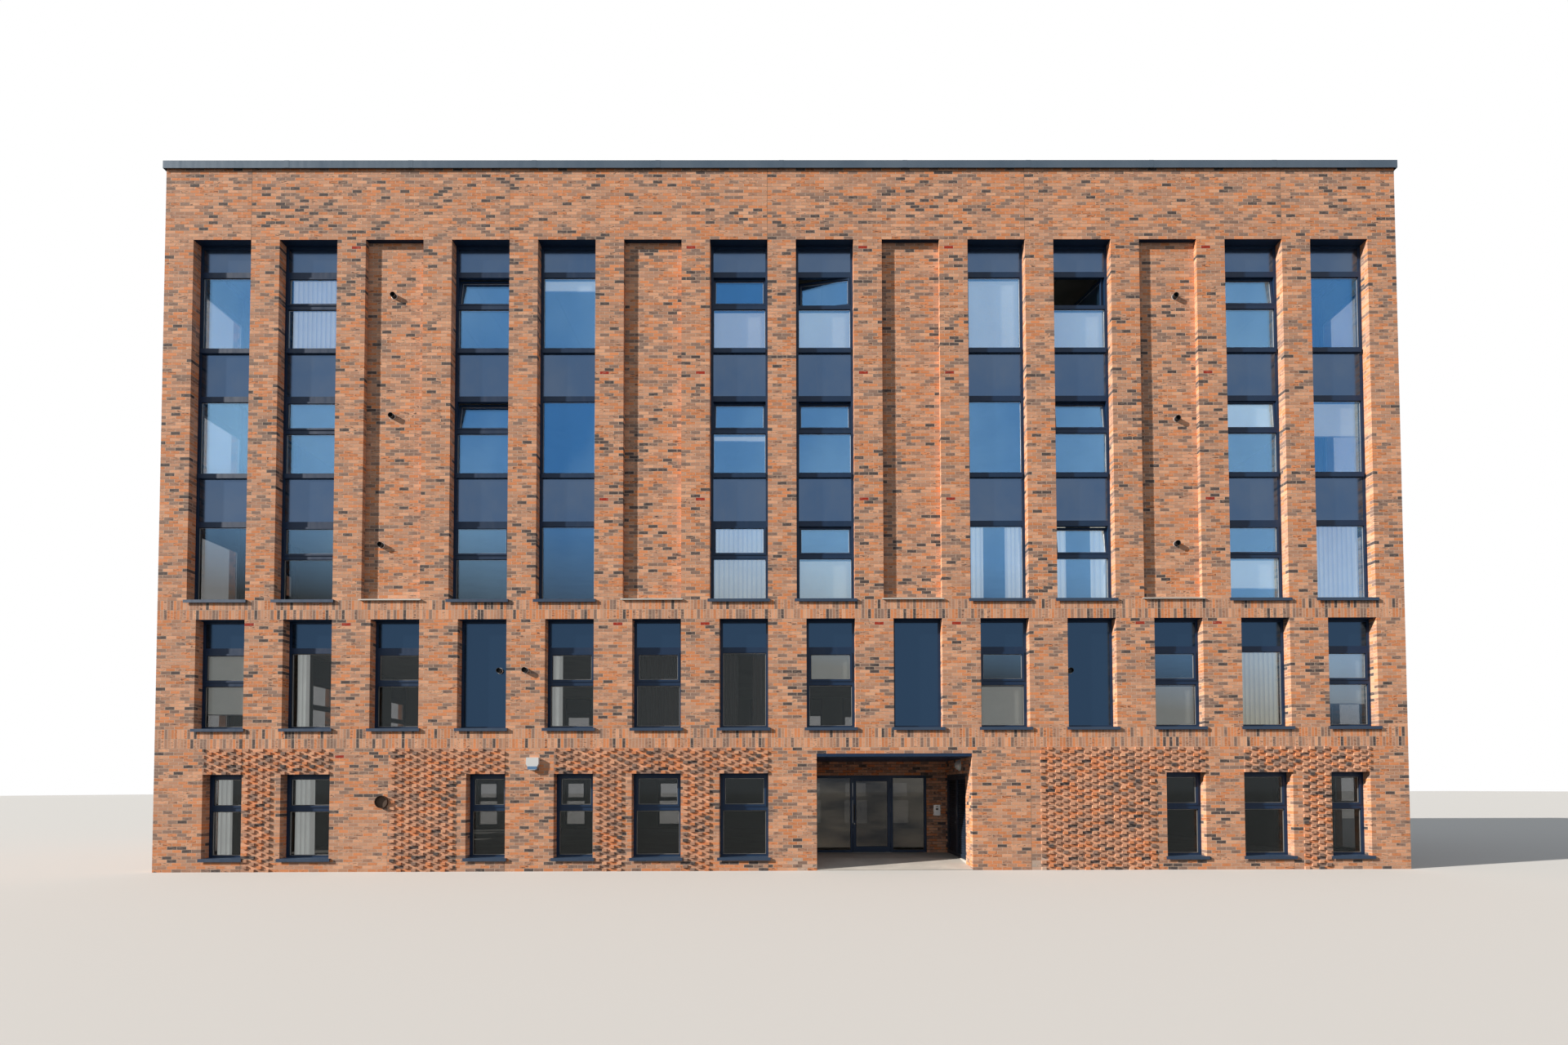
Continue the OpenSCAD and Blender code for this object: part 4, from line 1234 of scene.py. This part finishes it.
def fitDoor():
    low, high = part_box("entrance_door_handle")
    lock = ((low.x + high.x) / 2, fitting["lockHeight"])
    for name, kind, back, key, slotName in (("door_lock_rose", "rose", 0.0, "handle", "dark_metal"),
                                            ("door_lock_barrel", "barrel", 0.006, "steel", "brushed_steel")):
        stand = standMatrix(*facingFront, (lock[0], high.y - back, lock[1]))
        spreadShape(name, turnedDisc(kind, *fitting[kind]), [stand], key, "entrance_leaf")
    leafLow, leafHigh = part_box("entrance_door")
    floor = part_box("recess_floor")[1].z
    front, back, top = fitting["threshold"]
    past = fitting["thresholdPast"]
    sill = addBox("door_threshold", (leafLow.x - past, high.y - front, floor + 0.0002),
                  (leafHigh.x + past, high.y - back, floor + top))
    finishPiece(roundEdges(sill, 0.0015), "steel")


def fitLouvres():
    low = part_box("louvre_door_rear")[0]
    place = (low.x, low.y + fitting["louvreLockIn"], fitting["louvreLockHeight"])
    stand = standMatrix((0, -1, 0), (0, 0, 1), (-1, 0, 0), place)
    spreadShape("louvre_lock", turnedDisc("lock", *fitting["louvreLock"]), [stand], "steel",
                "louvre_leaf_rear")


for makeFittings in (sealJoints, strapCoping, glazeWindows, plateHeads, collarDucts, fitAlarm, fitBulkhead,
                     fitEntryPanel, fitDoor, fitLouvres):
    makeFittings()
say("seals, straps, glazing, head plates and fittings are made")

# Blinds and curtains, where the windows of the front show them
cloth = {
    "thick": 0.0008,
    "blindIn": 0.302,  # just behind the window frames
    "blindClear": 0.012,  # from the frame at each side
    "blindFoot": 0.012,
    "blindHead": 0.005,
    "bow": (0.001, 0.003),
    "cassetteHigh": 0.032,
    "cassettePast": 0.006,  # how far it passes the blind at each side
    "barDrop": 0.010,
    "curtainIn": 0.465,
    "fullness": 1.7,  # flat width of a curtain against its hung width
    "pleat": 0.11,
    "overlap": 0.05,  # how far a curtain passes the window's edge
    "below": 0.13,  # and its foot
    "curtainHead": 2.45,  # above the foot of the window
    "groundHead": 2.40,
    "railPast": 0.15,
    "bracketWide": 0.020,
}
cassette = [(0.0, 0.0), (0.028, 0.0), (0.033, 0.006), (0.033, 0.026), (0.027, 0.032), (0.0, 0.032)]
footBar = [(0.002, 0.0), (0.010, 0.0), (0.012, 0.004), (0.010, 0.022), (0.002, 0.022)]
bracket = [(-0.066, 0.016), (0.004, 0.016), (0.004, 0.030), (-0.052, 0.030), (-0.052, 0.060), (-0.066, 0.060)]
railRadius = 0.012

# Storey (0 first floor, 1 to 3 the tall strips above), bay, foot and head in the window
rollerBlinds = [
    (3, 4, 1.50, 1.79), (3, 6, 0.06, 1.02), (3, 7, 0.06, 1.02), (3, 9, 0.06, 1.79), (3, 10, 0.06, 1.02),
    (2, 6, 0.86, 1.02), (2, 13, 0.95, 1.79), (1, 7, 0.06, 1.02), (1, 12, 0.30, 1.02), (0, 0, 0.35, 1.79),
    (0, 7, 1.11, 1.79), (0, 9, 0.06, 1.02), (2, 12, 1.11, 1.79), (0, 11, 0.06, 1.02), (0, 13, 0.55, 1.79),
]

# Storey (-1 ground), bay, share of the window where the curtain starts and ends, cloth
curtains = [
    (3, 1, 0.0, 1.0, "sheer"), (1, 6, 0.0, 1.0, "sheer"), (1, 9, 0.0, 0.30, "sheer"),
    (1, 9, 0.72, 1.0, "sheer"), (1, 10, 0.0, 0.26, "sheer"), (1, 10, 0.74, 1.0, "sheer"),
    (1, 13, 0.0, 1.0, "sheer"), (0, 1, 0.0, 0.24, "shadedSheer"), (0, 4, 0.0, 0.20, "shadedSheer"),
    (0, 5, 0.0, 1.0, "grey"), (0, 6, 0.0, 0.34, "grey"), (0, 6, 0.68, 1.0, "grey"),
    (0, 12, 0.0, 1.0, "sheer"), (-1, 0, 0.0, 0.36, "shadedSheer"), (-1, 1, 0.0, 0.40, "shadedSheer"),
]


# Left and right edge of a window's glass and its foot
def windowAt(storey, bay):
    if storey < 0:
        left, right, foot = next(o[:3] for o in groundOpenings(elevations["front"])
                                 if bay * block["bay"] < o[0] < (bay + 0.8) * block["bay"] < o[1] + 0.5)
    else:
        left = bay * block["bay"] + (block["pier"] if storey else block["firstPier"])
        right = (bay + 1) * block["bay"]
        foot = upperFoot + (storey - 1) * block["storey"] if storey else firstFoot
    return left + block["frameWide"], right - block["frameWide"], foot


# Upright grid of cloth between two edges; its points are moved by the fold given
def hangCloth(name, low, high, foot, head, inward, columns, rows, fold, key):
    piece = addPrimitive(bpy.ops.mesh.primitive_grid_add, name, x_subdivisions=columns,
                         y_subdivisions=rows, size=1)
    for vertex in piece.data.vertices:
        x, y = vertex.co.x + 0.5, vertex.co.y + 0.5
        vertex.co = (low + (high - low) * x, inward + fold(x, y), foot + (head - foot) * y)
    body = piece.modifiers.new("body", "SOLIDIFY")
    body.thickness = cloth["thick"]
    bpy.ops.object.modifier_apply(modifier=body.name)
    piece.matrix_world = wallMatrix("front")
    settle(piece)
    bpy.ops.object.shade_smooth()
    finishPiece(piece, key)


# How deep pleats of one width must be for the cloth to have this fullness
def pleatDepth(fullness, wave):
    low, high = 0.0, wave
    for _ in range(30):
        depth = (low + high) / 2
        steps = [k / 40 for k in range(41)]
        waves = [depth * math.sin(2 * math.pi * t) for t in steps]
        length = sum(math.hypot(wave / 40, b - a) for a, b in zip(waves, waves[1:]))
        low, high = (depth, high) if length < fullness * wave else (low, depth)
    return depth


def hangBlinds():
    cassettes, bars = [], []
    clear = cloth["blindClear"]
    for storey, bay, foot, head in rollerBlinds:
        low, high, sill = windowAt(storey, bay)
        low, high = low + clear, high - clear
        foot, head = sill + foot + cloth["blindFoot"], sill + head - cloth["blindHead"]
        name = f"blind_{storey}_{bay}"
        bow = dice.uniform(*cloth["bow"])
        hangCloth(name, low, high, foot, head - 0.02, cloth["blindIn"] + 0.004, 8, 14,
                  lambda x, y: bow * math.sin(math.pi * x) * math.sin(math.pi * y),
                  "blind" if storey else "shadedBlind")
        high - low
        head - 0.02 - foot
        past, inward = cloth["cassettePast"], cloth["blindIn"] - 0.006
        for z, found in ((head - cloth["cassetteHigh"], cassettes), (foot - cloth["barDrop"], bars)):
            found.append(alongWall("front", (low - past, inward, z), high - low + 2 * past))
    spreadShape("blind_cassettes", pullOutline("cassette", cassette), cassettes, "plastic")
    spreadShape("blind_bars", pullOutline("bar", footBar), bars, "plastic")


def hangCurtains():
    depth = pleatDepth(cloth["fullness"], cloth["pleat"])
    turns = [k * math.pi / 5 for k in range(10)]
    ring = [(railRadius * math.cos(turn), railRadius * math.sin(turn)) for turn in turns]
    rails, brackets = [], []
    railed = set()
    for storey, bay, start, stop, key in curtains:
        left, right, sill = windowAt(storey, bay)
        low = left + (right - left) * start - cloth["overlap"] * (start == 0)
        high = left + (right - left) * stop + cloth["overlap"] * (stop == 1)
        foot = sill - cloth["below"]
        head = sill + cloth["curtainHead" if storey >= 0 else "groundHead"]
        pleats = max(2, round((high - low) / cloth["pleat"]))
        turn = dice.uniform(0, 6)
        name = f"curtain_{storey + 1}_{bay}_{'left' if start == 0 else 'right'}"

        def fold(x, y):  # the pleats deepen and stray towards the foot
            stray = 0.5 * (1 - y) * math.sin(9 * x + turn)
            return depth * (0.85 + 0.3 * (1 - y)) * math.sin(2 * math.pi * pleats * x + turn + stray)

        hangCloth(name, low, high, foot, head, cloth["curtainIn"], pleats * 10, 8, fold, key)
        cloth["fullness"] * (high - low)
        head - foot
        if (storey, bay) in railed:
            continue
        railed.add((storey, bay))
        inward, past = cloth["curtainIn"], cloth["railPast"]
        rails.append(alongWall("front", (left - past, inward, head + 0.010), right - left + 2 * past))
        brackets += [alongWall("front", (at, inward, head + 0.002), cloth["bracketWide"])
                     for at in (left - 0.10, right + 0.08)]
    spreadShape("curtain_rails", pullOutline("rail", ring), rails, "steel")
    spreadShape("rail_brackets", pullOutline("bracket", bracket), brackets, "steel")


hangBlinds()
hangCurtains()
say("blinds and curtains hang")

# Floor, light and camera
studio = {
    "floorSize": 600.0,
    "floorShown": (0.62, 0.61, 0.595),
    "floorBounce": (0.075, 0.070, 0.065),  # what the floor throws back on the walls
    "keyStrength": 5.8,
    "keyAzimuth": 70.5,  # degrees from the wall's normal, towards the left
    "keyHeight": 26.0,
    "keyAngle": 1.5,
    "keyTone": (1.0, 0.94, 0.86),
    "skyStrength": 0.41,
    "skyTone": (0.86, 0.93, 1.0),
}


# 1 for the rays that see the backdrop, 0 for those that light the block
def seenRays(owner):
    camera, glossy, through = [Signal(owner, "LightPath", output=f"Is {kind} Ray")
                               for kind in ("Camera", "Glossy", "Transmission")]
    return camera.calculate("MAXIMUM", glossy).calculate("MAXIMUM", through)


def layFloor():
    floor = addPrimitive(bpy.ops.mesh.primitive_plane_add, "studio_floor", size=studio["floorSize"],
                         location=(0, 0, 0))
    finish = startFinish("studioFloor", studio["floorShown"], 0.9, Specular_IOR_Level=0.1)
    seenRays(finish).blend(studio["floorBounce"], studio["floorShown"]).into("Base Color")
    floor.data.materials.append(finish)


def lightStudio():
    lamp = bpy.data.lights.new("softKey", "SUN")
    lamp.energy = studio["keyStrength"]
    lamp.angle = math.radians(studio["keyAngle"])
    lamp.color = studio["keyTone"]
    key = bpy.data.objects.new("softKey", lamp)
    bpy.context.scene.collection.objects.link(key)
    azimuth, height = math.radians(studio["keyAzimuth"]), math.radians(studio["keyHeight"])
    towards = Vector((-math.sin(azimuth) * math.cos(height), -math.cos(azimuth) * math.cos(height),
                      math.sin(height)))
    key.rotation_euler = towards.to_track_quat("Z", "Y").to_euler()
    world = bpy.data.worlds.new("paleStudio")
    bpy.context.scene.world = world
    world.use_nodes = True
    tree = world.node_tree
    tree.nodes.clear()
    sky = Signal(world, "Background", {"Color": (*studio["skyTone"], 1), "Strength": studio["skyStrength"]})
    white = Signal(world, "Background", {"Color": (1, 1, 1, 1)})
    mix = Signal(world, "MixShader", {0: seenRays(world), 1: sky, 2: white})
    tree.links.new(mix.socket, tree.nodes.new("ShaderNodeOutputWorld").inputs["Surface"])


view = {
    "place": (0.300, -23.663, 1.891),
    "yaw": -0.1377,
    "pitch": 1.480,
    "roll": 0.1526,
    "lens": 16.129,
    "sensor": 36.0,
    "shift": (-0.00855, 0.1582),
    "far": 1500,
}


def setCamera():
    data = bpy.data.cameras.new("photoCamera")
    data.sensor_fit = "HORIZONTAL"
    data.sensor_width = view["sensor"]
    data.lens = view["lens"]
    data.shift_x, data.shift_y = view["shift"]
    data.clip_end = view["far"]
    camera = bpy.data.objects.new("photoCamera", data)
    bpy.context.scene.collection.objects.link(camera)
    yaw, pitch, roll = [Matrix.Rotation(math.radians(view[key]), 4, axis)
                        for key, axis in (("yaw", "Z"), ("pitch", "X"), ("roll", "Y"))]
    stand = Matrix.Rotation(math.radians(90), 4, "X")
    camera.matrix_world = Matrix.Translation(view["place"]) @ (yaw @ pitch @ roll) @ stand
    bpy.context.scene.camera = camera


layFloor()
lightStudio()
setCamera()
bpy.context.scene.view_settings.view_transform = "Standard"
say("studio is set")
